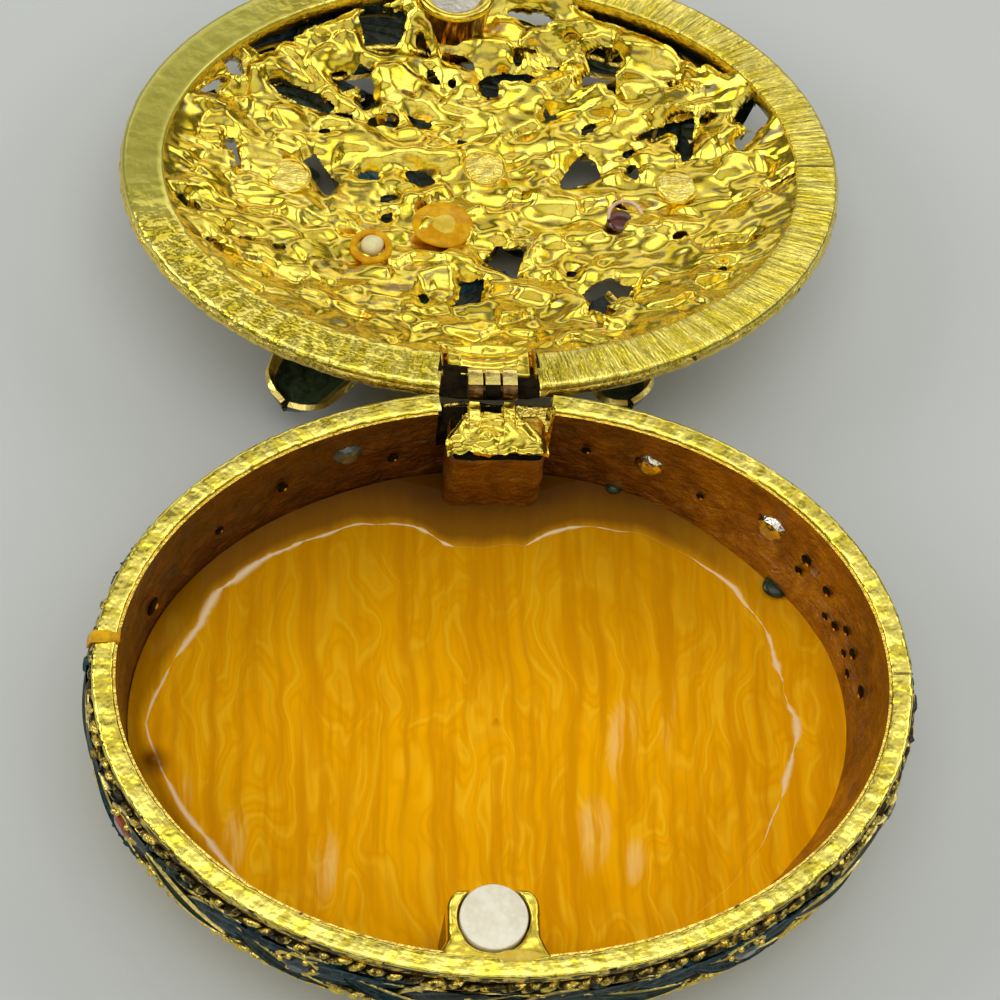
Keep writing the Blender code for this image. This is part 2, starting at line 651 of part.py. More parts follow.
# ---------------------------------------------------------------- ornaments of the lid

def make_blossom(hinge, name, x, v, petals, radius, notch):
    """Petals, stem and rivet head in one casting; the petal tips reach the table."""
    placing = blossom_frame(x, v)
    tilt = LID_OPEN_ANGLE - math.pi
    seat = seat_height(x, v)
    crown = (table_height(v) - seat) * math.cos(tilt) - TABLE_CLEARANCE
    sides = petals * BLOSSOM_SEGMENTS_PER_PETAL
    lean = RIVET_HEAD_RADIUS * math.tan(tilt)
    head_top = min(heights_round(dish_height, x, v, RIVET_HEAD_RADIUS)) - seat - GAP - lean
    tip_rise = crown - PETAL_THICKNESS
    rows = [(RIVET_HEAD_RADIUS, head_top - RIVET_HEAD_THICKNESS), (RIVET_HEAD_RADIUS, head_top),
            (STEM_RADIUS, head_top), (STEM_RADIUS, 0.0), (PETAL_START, 0.0)]

    def petal_ring(station, lift):
        ring = []
        for side in range(sides):
            angle = math.radians(notch) + FULL_TURN * side / sides
            swell = abs(math.sin(petals * (angle - math.radians(notch)) / 2))
            reach = BLOSSOM_NOTCH + (1 - BLOSSOM_NOTCH) * swell ** 0.6
            out = PETAL_START + (radius * reach - PETAL_START) * station
            height = tip_rise * station ** 1.5 * (0.6 + 0.4 * swell) + lift
            ring.append(placing @ Vector((out * math.cos(angle), out * math.sin(angle), height)))
        return ring

    rings = []
    for reach, height in rows:
        angles = [math.radians(notch) + FULL_TURN * side / sides for side in range(sides)]
        rings.append([placing @ Vector((reach * math.cos(a), reach * math.sin(a), height)) for a in angles])
    rings += [petal_ring(station, 0.0) for station in BLOSSOM_STATIONS]
    rings += [petal_ring(station, PETAL_THICKNESS) for station in BLOSSOM_STATIONS[::-1]]
    head = placing @ Vector((0, 0, rows[0][1]))
    eye = placing @ Vector((0, 0, PETAL_THICKNESS))
    piece(name, skin(rings, head, eye), finish(name + "_enamel", (0.62, 0.20, 0.16), 0.3, 0.25), hinge)
    girdle = PETAL_THICKNESS + GAP + PAVILION_SHARE * BLOSSOM_STONE_DEPTH
    make_stone(name + "_stone", BLOSSOM_STONE_RADIUS, BLOSSOM_STONE_DEPTH,
               placing @ Matrix.Translation((0, 0, girdle)), hinge)


def make_leaf(hinge, name, root_x, root_v, tip_x, tip_v, half_width, tip_height):
    """A curved leaf, convex outwards and hollow behind, standing off the dome."""
    root, tip = Vector((root_x, root_v)), Vector((tip_x, tip_v))
    along = (tip - root).normalized()
    across = Vector((along.y, -along.x))
    root_height = dome_height(root.x, root.y) + DOME_RIDGE_HEIGHT + GAP
    body = bmesh.new()
    layers = []
    for lift in (0.0, LEAF_THICKNESS):
        rows = []
        for station in range(LEAF_STATIONS):
            share = station / (LEAF_STATIONS - 1)
            belly = math.sin(math.pi * (0.12 + 0.76 * share))
            spread = half_width * (LEAF_TIP_WIDTH + (1 - LEAF_TIP_WIDTH) * belly)
            middle = root + (tip - root) * share
            row = []
            for step in range(LEAF_ACROSS + 1):
                side = 2 * step / LEAF_ACROSS - 1
                place = middle + across * side * spread
                arch = LEAF_CROWN * (1 - side * side) * math.sin(math.pi * (0.15 + 0.7 * share))
                height = root_height + (tip_height - root_height) * share + arch
                floor = dome_height(place.x, place.y) + DOME_RIDGE_HEIGHT + GAP
                row.append(body.verts.new(lid_point(place.x, place.y, max(height, floor) + lift)))
            rows.append(row)
        layers.append(rows)
    for rows in layers:
        for row, ahead in zip(rows, rows[1:]):
            for step in range(LEAF_ACROSS):
                body.faces.new((row[step], row[step + 1], ahead[step + 1], ahead[step]))
    rims = []
    for rows in layers:
        going = rows[0] + [row[-1] for row in rows[1:]]
        coming = rows[-1][-2::-1] + [row[0] for row in rows[-2:0:-1]]
        rims.append(going + coming)
    rim_under, rim_over = rims
    for index, (low, high) in enumerate(zip(rim_under, rim_over)):
        after = (index + 1) % len(rim_under)
        body.faces.new((low, rim_under[after], rim_over[after], high))
    piece(name, body, finish(name + "_enamel", (0.06, 0.24, 0.16), 0.4, 0.25), hinge)


# ---------------------------------------------------------------- stones

def make_stone(name, radius, depth, placing, parent=None):
    """Round brilliant: table and crown above its girdle, pavilion below."""
    rows = ((radius, 0.0), (radius * TABLE_SHARE, depth * (1 - PAVILION_SHARE)))
    body = turned(rows, STONE_SIDES, placing, tip=depth * PAVILION_SHARE)
    piece(name, body, finish(name + "_crystal", (0.95, 0.96, 0.97), 0.0, 0.03, 0.9), parent, 10.0)


def make_side_stones():
    for number, degrees in enumerate(SIDE_STONE_ANGLES, 1):
        seat = side_stone_frame(math.radians(degrees))
        placing = seat @ Matrix.Translation((0, 0, SIDE_STONE_LIFT))
        make_stone(f"side_stone_{number}", SIDE_STONE_RADIUS, SIDE_STONE_DEPTH, placing)


def make_lid_stones(hinge):
    for number, (x, v) in enumerate(LID_STONES, 1):
        x, v = x * MM, v * MM
        fall_x = dome_height(x - SLOPE_STEP, v) - dome_height(x + SLOPE_STEP, v)
        fall_v = dome_height(x, v - SLOPE_STEP) - dome_height(x, v + SLOPE_STEP)
        slope = Vector((fall_x, fall_v, 2 * SLOPE_STEP)).normalized()
        seat = lid_point(x, v, dome_height(x, v) + DOME_RIDGE_HEIGHT) + slope * LID_STONE_LIFT
        make_stone(f"lid_stone_{number}", LID_STONE_RADIUS, LID_STONE_DEPTH, facing(seat, slope), hinge)


def main():
    clear_scene()
    make_base()
    make_resin()
    make_base_magnet()
    make_base_hinge()
    make_pin()
    make_side_stones()

    hinge = bpy.data.objects.new("lid_hinge_axis", None)
    hinge.location = (0, HINGE_Y, HINGE_Z)
    hinge.rotation_euler = (-LID_OPEN_ANGLE, 0, 0)
    bpy.context.scene.collection.objects.link(hinge)
    make_lid(hinge)
    make_lid_magnet(hinge)
    make_lid_hinge(hinge)
    for name, x, v, petals, radius, notch in BLOSSOMS:
        make_blossom(hinge, name, x * MM, v * MM, petals, radius * MM, notch)
    for name, root_x, root_v, tip_x, tip_v, half_width, tip_height in LEAVES:
        make_leaf(hinge, name, root_x * MM, root_v * MM, tip_x * MM, tip_v * MM,
                  half_width * MM, tip_height * MM)
    make_lid_stones(hinge)


main()
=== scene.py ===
"""Cast rhinestone trinket box laid open: its looks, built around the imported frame.

Sizes inside the functions are millimetres; the finished meshes are in metres. The box
stands on its foot at z = 0 with its clasp towards -Y and its hinge towards +Y. Lid pieces
are modelled shut, as x, v (towards the hinge) and h (up from the lid's flat rim), and are
then laid open about the hinge.
"""
import math

import bpy
import numpy as np
from mathutils import Matrix, Vector, noise


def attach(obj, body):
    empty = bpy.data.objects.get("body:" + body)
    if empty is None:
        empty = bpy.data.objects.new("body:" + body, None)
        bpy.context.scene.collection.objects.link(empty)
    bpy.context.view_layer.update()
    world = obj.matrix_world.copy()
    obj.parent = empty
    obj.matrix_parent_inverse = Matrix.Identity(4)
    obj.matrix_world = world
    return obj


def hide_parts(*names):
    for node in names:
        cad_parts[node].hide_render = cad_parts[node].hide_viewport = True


MM = 0.001
FULL_TURN = 2 * math.pi
UP = (0, 0, 1)
SAME_PLACE = 0.000002

# The bowl.
BOWL_LENGTH = 33.0
BOWL_WIDTH = 25.5
WALL_SIDES = 640
FRIEZE_LEAVES = 20
FRIEZE_LOW = 8.7
FRIEZE_HIGH = 13.8
STONE_DIRECTIONS = (40, 66, 113, 150, 205, 240, 304, 338)
STONE_HEIGHT = 11.3
STONE_RADIUS = 1.4
RESIN_LENGTH = 30.35
RESIN_WIDTH = 22.85
RESIN_LEVEL = 5.6
NOTCH = (-4.75, 4.8)
CLASP = (-1.65, -20.5)
BLOCK = (-3.98, 4.22, 19.75, 24.2)

# The lid, shut.
LID_SHIFT = 0.58
LID_SEAT = 16.8
LID_LENGTH = 31.6
LID_WIDTH = 24.44
LID_FLAT = 3.62
DISH_LENGTH = LID_LENGTH - LID_FLAT
DISH_WIDTH = LID_WIDTH - LID_FLAT
HINGE_Y = 25.75
HINGE_Z = 16.06
OPEN_ANGLE = math.radians(187.2)
POST = (-1.65, -20.2)
TONGUE = (-4.45, 3.75)
LID_GEM_RADIUS = 1.0
RIVET_RADIUS = 1.85

# Openings of the lid with corners of their own, as x, v.
WINDOWS = (
    ((0.3, 5.6), (1.6, 3.9), (4.4, 4.4), (3.1, 7.5), (0.8, 6.1)),
    ((-1.8, 8.0), (0.4, 8.2), (-0.4, 11.2), (-2.9, 11.2), (-1.9, 9.8)),
    ((-15.9, -4.5), (-14.5, -5.3), (-12.3, -2.3), (-13.6, -1.0), (-14.7, -2.6)),
    ((7.6, -3.2), (8.8, -4.9), (9.9, -6.5), (11.0, -5.9), (11.6, -4.5), (10.2, -3.4), (8.3, -2.4)),
    ((8.7, 10.1), (9.8, 8.9), (11.7, 8.4), (12.2, 9.1), (13.5, 9.3), (12.5, 11.2), (10.6, 12.7),
     (11.4, 13.4), (10.9, 14.0), (9.0, 13.0), (9.7, 11.2)),
    ((-10.6, -18.1), (-9.7, -19.3), (-6.6, -19.6), (-5.9, -18.8), (-6.4, -17.2), (-7.7, -16.1),
     (-9.7, -16.1)),
    ((-18.9, -11.6), (-17.4, -11.8), (-14.3, -11.7), (-12.6, -10.5), (-13.1, -9.9), (-15.9, -10.0),
     (-17.9, -10.8)),
    ((-12.5, -12.9), (-11.2, -13.6), (-10.2, -14.6), (-9.4, -14.1), (-9.1, -12.3), (-9.1, -11.0),
     (-10.0, -10.4), (-10.5, -12.3), (-12.0, -12.2)),
    ((10.3, -16.0), (11.9, -16.3), (13.0, -15.8), (13.6, -14.6), (13.0, -13.2), (13.3, -11.5),
     (12.3, -11.7), (11.7, -12.9), (9.8, -13.1), (10.8, -14.3)),
    ((18.1, -8.8), (19.9, -9.1), (20.0, -7.2), (19.5, -4.4), (18.6, -4.2), (18.2, -5.7), (18.5, -7.2),
     (17.1, -7.8)),
    ((23.2, -7.2), (23.8, -8.4), (24.5, -9.2), (25.9, -9.6), (26.9, -8.3), (26.8, -7.1), (25.1, -5.6),
     (23.8, -4.5), (23.2, -5.1), (24.5, -6.3)),
    ((-22.8, -12.2), (-22.0, -12.8), (-21.1, -12.7), (-20.9, -11.8), (-21.3, -11.2), (-22.4, -11.4)),
    ((-21.2, -14.6), (-16.5, -18.2), (-11.3, -20.4), (-7.0, -21.4), (-7.0, -19.9), (-11.0, -18.7),
     (-15.6, -16.3), (-19.5, -13.6)),
    ((9.7, -20.9), (14.3, -19.2), (18.5, -17.0), (22.8, -13.8), (24.2, -12.0), (22.8, -11.6), (21.4, -12.9),
     (20.4, -12.9), (17.7, -15.4), (13.6, -17.6), (9.6, -19.2)),
)
# Smaller ragged openings: x, v, half length, half width, turn in degrees.
OPENINGS = (
    (-19.0, -14.6, 1.2, 0.6, -25), (-17.0, -15.6, 0.7, 0.35, 20), (-14.6, -17.2, 0.5, 0.3, 20),
    (-12.1, -13.3, 0.9, 0.6, 10), (-11.8, -9.6, 0.9, 0.5, 15), (-8.3, -9.2, 1.5, 0.6, -8),
    (-4.9, -9.9, 1.2, 0.4, 10), (-22.0, -4.6, 0.4, 0.6, -15), (-21.6, -3.4, 0.3, 1.1, -15),
    (-25.9, 3.4, 1.2, 0.6, 25), (-9.8, -3.9, 0.7, 0.6, 0), (-5.0, -3.8, 1.5, 0.9, 25),
    (-7.9, -1.2, 0.9, 0.4, -25), (-8.2, 0.8, 0.5, 0.5, 0), (-5.2, 10.8, 0.5, 1.1, 10),
    (8.1, 7.3, 0.5, 0.4, 20), (14.3, -3.8, 0.45, 1.0, -5), (4.8, -1.6, 0.9, 0.35, -20),
    (10.5, -8.8, 0.9, 0.35, -35), (16.0, -7.4, 1.6, 0.5, -18), (14.0, -6.0, 0.6, 0.3, 0),
    (21.2, -8.3, 0.8, 0.5, 0), (22.5, -13.0, 0.9, 0.6, 35), (18.5, -12.3, 0.8, 0.25, -5),
    (3.2, -13.9, 2.6, 0.6, 0), (-1.2, -15.6, 1.6, 0.6, 25), (1.6, -12.9, 0.8, 0.8, 0),
    (-4.6, -16.6, 0.6, 1.0, -30), (27.3, 0.1, 1.2, 0.12, -15),
    (17.7, 4.5, 0.9, 0.4, -15), (5.4, -19.0, 2.2, 0.6, 12), (-23.6, -9.9, 1.6, 0.35, -42),
    (-20.8, 5.9, 0.9, 0.35, -10), (-17.8, 6.3, 0.6, 0.5, 0), (-23.5, 7.6, 0.9, 0.35, 22),
    (24.0, 6.1, 0.4, 0.25, 0), (5.2, -16.2, 0.8, 0.2, 0), (9.0, -17.0, 0.7, 0.2, 0),
    (7.6, -15.2, 0.7, 0.2, 5), (4.2, -15.7, 0.5, 0.6, 0), (-13.6, -7.6, 0.6, 0.25, -15),
    (12.9, 0.1, 1.2, 0.28, 5), (-3.6, -13.9, 0.35, 0.9, -35), (21.0, 9.2, 0.5, 0.25, -20),
    (-1.0, -7.9, 0.7, 0.25, -10), (7.0, -10.8, 0.5, 0.3, 0), (-1.9, -13.2, 0.4, 0.5, 0),
)
# Openings that light falls through, as x, v; dark leaves lie behind the others as painted shade.
SEE_THROUGH = (
    (-21.7, -12.0), (-19.0, -14.6), (-10.5, -12.3), (-13.9, -3.2), (-21.6, -3.4), (25.0, -7.2),
    (9.8, -4.6), (14.3, -3.8), (2.2, 5.4), (11.0, 11.0), (12.0, -14.0), (-17.0, -15.6),
)
# Places inside the lid that were left smooth: x, v, half length, half width.
SMOOTH_SPOTS = (
    (-19.6, -3.6, 2.2, 1.9), (-11.6, -1.6, 2.0, 1.5), (24.0, 3.8, 3.2, 2.0), (14.4, 7.2, 3.4, 1.6),
    (-20.0, 3.6, 4.0, 0.7), (2.0, 8.8, 4.5, 0.7), (-8.0, 9.8, 3.0, 1.0), (11.0, -8.8, 4.0, 0.7),
    (-2.5, -6.6, 3.0, 0.6), (-13.0, -14.6, 3.5, 0.5), (-16.9, -1.8, 2.2, 2.2), (0.8, -4.4, 2.2, 2.1),
    (17.9, -1.1, 2.2, 2.2),
)

# Ornaments outside the lid. Blossoms: x, v, petals, reach, the direction of the notch, and
# how far the head of the rivet is sunk into the lid's inside.
BLOSSOMS = (
    ("left", -16.9, -1.8, 5, 6.5, -25.0, 0.55),
    ("middle", 0.8, -4.4, 6, 7.5, 15.0, 0.45),
    ("right", 17.9, -1.1, 5, 6.5, 217.0, 0.55),
)
# Hollow leaves: root, tip, half width, height of the tip.
HOLLOW_LEAVES = (
    ("back_left", (-9.2, 8.0), (-17.4, 19.6), 4.3, 10.0),
    ("back_right", (9.6, 9.2), (13.0, 19.2), 3.6, 10.0),
    ("front_left", (-8.6, -11.6), (-18.6, -13.6), 2.6, 7.4),
    ("front_right", (8.8, -10.6), (19.6, -12.4), 2.6, 7.4),
)
LID_GEMS = ((-24.5, 0.5), (24.6, 2.2), (-12.5, -15.5), (3.6, -17.0), (14.8, 4.6), (-3.6, 5.6))
# Small leaves on the dome: x, v, turn in degrees, size.
DOME_LEAVES = (
    (-12.0, -18.5, 8, 0.9), (-15.0, -9.4, 20, 0.8), (-8.5, -9.8, 12, 1.0), (-8.0, -4.6, 25, 0.8),
    (14.0, -8.0, 18, 1.0), (19.6, -3.0, -80, 0.8), (20.0, -14.0, 40, 0.8), (-3.6, 12.0, -50, 0.8),
    (0.6, -14.6, 12, 0.8), (-28.0, 3.0, 15, 0.7), (-24.5, 8.6, 10, 1.0), (3.0, -20.3, 10, 0.8),
    (-6.8, 12.6, -70, 0.7), (6.4, 7.4, -10, 0.6), (15.5, 5.0, -5, 0.6), (-27.0, -8.0, -45, 0.8),
    (9.0, -18.8, 22, 1.0), (-21.0, -13.6, -32, 1.5), (-12.5, -18.4, -10, 1.2), (9.0, -19.6, 18, 1.4),
    (17.0, -16.6, 34, 1.2),
)
# Stems over the dome, through places as x, v.
VINES = (
    ((-26, 6), (-20, 9), (-12, 13), (-4, 14), (4, 16), (12, 15), (20, 10), (26, 4)),
    ((-24, -8), (-16, -15), (-8, -19), (0, -16), (8, -19), (16, -15), (24, -9)),
    ((-22, 3), (-14, 4), (-8, 8), (0, 1), (8, 3), (14, 8), (22, 6)),
)

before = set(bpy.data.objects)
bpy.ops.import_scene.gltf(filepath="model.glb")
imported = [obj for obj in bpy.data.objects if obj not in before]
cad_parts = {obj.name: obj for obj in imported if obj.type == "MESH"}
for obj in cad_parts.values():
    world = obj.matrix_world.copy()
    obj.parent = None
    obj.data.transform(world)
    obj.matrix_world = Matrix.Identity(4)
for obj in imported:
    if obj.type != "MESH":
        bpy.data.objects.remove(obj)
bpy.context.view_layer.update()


# ------------------------------------------------------------------ workbench

def take(piece):
    bpy.ops.object.select_all(action="DESELECT")
    piece.select_set(True)
    bpy.context.view_layer.objects.active = piece


def edit(kind="FACE", select="SELECT"):
    bpy.ops.object.mode_set(mode="EDIT")
    bpy.ops.mesh.select_mode(type=kind)
    bpy.ops.mesh.select_all(action=select)


def leave():
    bpy.ops.object.mode_set(mode="OBJECT")


def fresh(name):
    """The primitive that was just added, named."""
    piece = bpy.context.object
    piece.name = name
    piece.data.name = name
    return piece


def triples(items, what):
    """One measure of every point or face of a mesh, three numbers to a row."""
    flat = np.empty(len(items) * 3)
    items.foreach_get(what, flat)
    return flat.reshape(-1, 3)


def points(piece):
    return triples(piece.data.vertices, "co") / MM


def shape(piece, xyz):
    piece.data.vertices.foreach_set("co", (np.asarray(xyz) * MM).ravel())
    piece.data.update()
    return piece


def middles(piece):
    return triples(piece.data.polygons, "center") / MM


def facing_of(piece):
    return triples(piece.data.polygons, "normal")


def corners_of(piece):
    """The four points of every face of a piece that is still all quads."""
    corner = np.empty(len(piece.data.polygons) * 4, np.int32)
    piece.data.polygons.foreach_get("vertices", corner)
    return corner.reshape(-1, 4)


def face_rows(piece, sides):
    """Which row of a moulding each face belongs to, counted from its first row."""
    return corners_of(piece).max(1) // sides


def pick_faces(piece, chosen):
    """Enter edit mode with the chosen faces selected."""
    take(piece)
    edit("FACE", "DESELECT")
    leave()
    piece.data.polygons.foreach_set("select", np.asarray(chosen, bool))
    bpy.ops.object.mode_set(mode="EDIT")


def cut_faces(piece, chosen):
    pick_faces(piece, chosen)
    bpy.ops.mesh.delete(type="FACE")
    leave()
    return piece


def close_ends(piece):
    take(piece)
    edit("EDGE", "DESELECT")
    bpy.ops.mesh.select_non_manifold()
    bpy.ops.mesh.fill_holes(sides=0)
    leave()
    return piece


def tidy(piece, angle=50.0):
    """Merge doubles, turn the faces outwards and smooth what isn't a real edge."""
    take(piece)
    edit()
    bpy.ops.mesh.remove_doubles(threshold=SAME_PLACE)
    bpy.ops.mesh.normals_make_consistent(inside=False)
    leave()
    return soften(piece, angle)


def soften(piece, angle=50.0):
    take(piece)
    bpy.ops.object.shade_smooth_by_angle(angle=math.radians(angle))
    return piece


def modify(piece, kind, **settings):
    take(piece)
    modifier = piece.modifiers.new(kind.title(), kind)
    for key, value in settings.items():
        setattr(modifier, key, value)
    bpy.ops.object.modifier_apply(modifier=modifier.name)
    return piece


def thicken(piece, thickness, offset=-1.0):
    """Give a sheet its thickness: inwards at -1, outwards at 1."""
    return modify(piece, "SOLIDIFY", thickness=thickness * MM, offset=offset)


def round_edges(piece, width, segments, angle=30.0):
    return modify(piece, "BEVEL", width=width * MM, segments=segments, limit_method="ANGLE",
                  angle_limit=math.radians(angle))


def paint(piece, *finishes):
    piece.data.materials.clear()
    for finish in finishes:
        piece.data.materials.append(finish)
    return piece


def paint_faces(piece, chosen, slot):
    index = np.empty(len(piece.data.polygons), np.int32)
    piece.data.polygons.foreach_get("material_index", index)
    index[np.asarray(chosen, bool)] = slot
    piece.data.polygons.foreach_set("material_index", index)
    return piece


def ball(name, segments, rings, radius=1.0):
    bpy.ops.mesh.primitive_uv_sphere_add(segments=segments, ring_count=rings, radius=radius * MM)
    return fresh(name)


def copy_of(piece, place, name="copy"):
    twin = bpy.data.objects.new(name, piece.data.copy())
    bpy.context.scene.collection.objects.link(twin)
    twin.data.transform(place)
    return twin


def join(name, pieces):
    bpy.ops.object.select_all(action="DESELECT")
    for piece in pieces:
        piece.select_set(True)
    bpy.context.view_layer.objects.active = pieces[0]
    bpy.ops.object.join()
    return fresh(name)


def drop(piece):
    bpy.data.objects.remove(piece, do_unlink=True)


def hand_on(piece, body, *nodes, slot=None):
    """Ride a finished piece on its body and let it stand for its solids."""
    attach(piece, body)
    if nodes:
        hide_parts(*nodes)


# ------------------------------------------------------------------ measuring

def smooth_step(low, high, value):
    share = np.clip((value - low) / (high - low), 0.0, 1.0)
    return share * share * (3 - 2 * share)


def oval_share(xyz, length, width):
    """0 in the middle of an oval and 1 on its outline, seen from above."""
    return np.hypot(xyz[:, 0] / length, xyz[:, 1] / width)


def oval_angle(xyz, length, width):
    return np.arctan2(xyz[:, 1] / width, xyz[:, 0] / length)


def spun(x, y, angle):
    """Flat places turned about the origin by an angle in radians."""
    c, s = np.cos(angle), np.sin(angle)
    return x * c - y * s, x * s + y * c


def floor_spots(x, y):
    """Places at height 0, for noise that runs straight up through a piece."""
    return np.stack([x, y, 0 * x], 1)


def at_hinge(xyz, span, behind, slack=0.0):
    """Which places lie beyond a line towards the hinge and within a span of x."""
    return (xyz[:, 1] > behind) & (xyz[:, 0] > span[0] - slack) & (xyz[:, 0] < span[1] + slack)


def stand(spot, outward):
    """Carries a piece that was modelled lying flat to its spot, facing outward."""
    facing = Vector(outward).normalized().to_track_quat("Z", "Y").to_matrix().to_4x4()
    return Matrix.Translation(Vector(spot) * MM) @ facing


def rumple(xyz, size, seed=0.0, detail=0):
    """Smooth noise of a given grain, -1 to 1, at each point."""
    if detail:
        return np.array([noise.fractal(Vector((x, y, z + seed)), 0.8, 2.0, detail)
                         for x, y, z in np.asarray(xyz) / size])
    return np.array([noise.noise(Vector((x, y, z + seed))) for x, y, z in np.asarray(xyz) / size])


def facets(x, y, size, seed, sharp=9.0):
    """Height of a beaten surface: small planes that lean at random and meet softly."""
    heights = np.empty(len(x))
    for index, (px, py) in enumerate(zip(x / size, y / size)):
        spot = Vector((px, py, seed))
        far, near = noise.voronoi(spot)
        total = weight = 0.0
        for distance, point in zip(far, near):
            lean = noise.cell_vector(point * 17.3)
            share = math.exp(sharp * (far[0] - distance))
            rise = (lean.x - 0.5) * (px - point.x) + (lean.y - 0.5) * (py - point.y)
            total += share * (rise + 0.35 * (lean.z - 0.5))
            weight += share
        heights[index] = total / weight
    return heights * size


def lay_open(piece):
    """Turn a lid piece, modelled shut in lid measures, about the hinge to its open place."""
    xyz = points(piece)
    y = xyz[:, 1] + LID_SHIFT - HINGE_Y
    z = xyz[:, 2] + LID_SEAT - HINGE_Z
    turn_c, turn_s = math.cos(OPEN_ANGLE), math.sin(OPEN_ANGLE)
    out = np.stack([xyz[:, 0], turn_c * y + turn_s * z + HINGE_Y, turn_c * z - turn_s * y + HINGE_Z], 1)
    return shape(piece, out)


def dish_height(x, v):
    share = np.minimum(1.0, np.hypot(x / DISH_LENGTH, v / DISH_WIDTH))
    return 0.35 + 6.2 * (1 - share ** 2.4) ** 0.85


def dome_height(x, v):
    share = np.minimum(1.0, np.hypot(x / LID_LENGTH, v / LID_WIDTH))
    return 1.7 + 6.1 * (1 - share ** 2.4) ** 0.75


def disc_grid(name, across, along):
    """A grid drawn over a round disc of radius 1, so that its border is one smooth ring."""
    bpy.ops.mesh.primitive_grid_add(x_subdivisions=across, y_subdivisions=along, size=2 * MM)
    piece = fresh(name)
    xyz = points(piece)
    x, y = xyz[:, 0].copy(), xyz[:, 1].copy()
    xyz[:, 0] = x * np.sqrt(1 - y * y / 2)
    xyz[:, 1] = y * np.sqrt(1 - x * x / 2)
    return shape(piece, xyz)


def moulding(name, rows, sides, length, width, closed=True):
    """An oval drawn out row by row, as height and offset, like a moulding run round a bowl."""
    bpy.ops.mesh.primitive_circle_add(vertices=sides, radius=1, fill_type="NOTHING")
    ring = fresh(name)
    edit("EDGE")
    last = (1.0, 1.0, 0.0)
    for step, (height, offset) in enumerate(rows):
        if step:
            bpy.ops.mesh.extrude_region_move()
        now = ((length + offset) * MM, (width + offset) * MM, height * MM)
        bpy.ops.transform.resize(value=(now[0] / last[0], now[1] / last[1], 1))
        bpy.ops.transform.translate(value=(0, 0, now[2] - last[2]))
        last = now
    if closed:
        bpy.ops.mesh.select_all(action="DESELECT")
        bpy.ops.mesh.select_non_manifold()
        bpy.ops.mesh.bridge_edge_loops()
    leave()
    return ring


def arc_table(length, width, steps=2880):
    angles = np.linspace(0, FULL_TURN, steps + 1)
    x, y = length * np.cos(angles), width * np.sin(angles)
    run = np.concatenate([[0], np.cumsum(np.hypot(np.diff(x), np.diff(y)))])
    return angles, run


def on_wall(run, height, out, length=BOWL_LENGTH, width=BOWL_WIDTH):
    """Bend flat work, as run along the wall, height and lift, round the oval."""
    angles, table = arc_table(length, width)
    angle = np.interp(np.mod(run, table[-1]), table, angles)
    nx, ny = np.cos(angle) / length, np.sin(angle) / width
    norm = np.hypot(nx, ny)
    return np.stack([length * np.cos(angle) + out * nx / norm,
                     width * np.sin(angle) + out * ny / norm, height], 1)


def wall_length(length=BOWL_LENGTH, width=BOWL_WIDTH):
    return arc_table(length, width)[1][-1]


# ------------------------------------------------------------------ finishes

class Wire:
    """A shader output that takes Python arithmetic."""

    def __init__(self, finish, socket):
        self.finish = finish
        self.socket = socket

    def math(self, operation, *values):
        return self.finish.add("ShaderNodeMath", {"operation": operation}, dict(enumerate(values)))

    def __add__(self, other):
        return self.math("ADD", self, other)

    def __radd__(self, other):
        return self.math("ADD", other, self)

    def __sub__(self, other):
        return self.math("SUBTRACT", self, other)

    def __rsub__(self, other):
        return self.math("SUBTRACT", other, self)

    def __mul__(self, other):
        return self.math("MULTIPLY", self, other)

    def __rmul__(self, other):
        return self.math("MULTIPLY", other, self)

    def __truediv__(self, other):
        return self.math("DIVIDE", self, other)

    def __pow__(self, other):
        return self.math("POWER", self, other)

    def sine(self):
        return self.math("SINE", self)

    def size(self):
        return self.math("ABSOLUTE", self)

    def rise(self, low, high):
        """0 below low, 1 above high, eased between."""
        settings = {"interpolation_type": "SMOOTHSTEP", "clamp": True}
        return self.finish.add("ShaderNodeMapRange", settings,
                               {"Value": self, "From Min": low, "From Max": high})


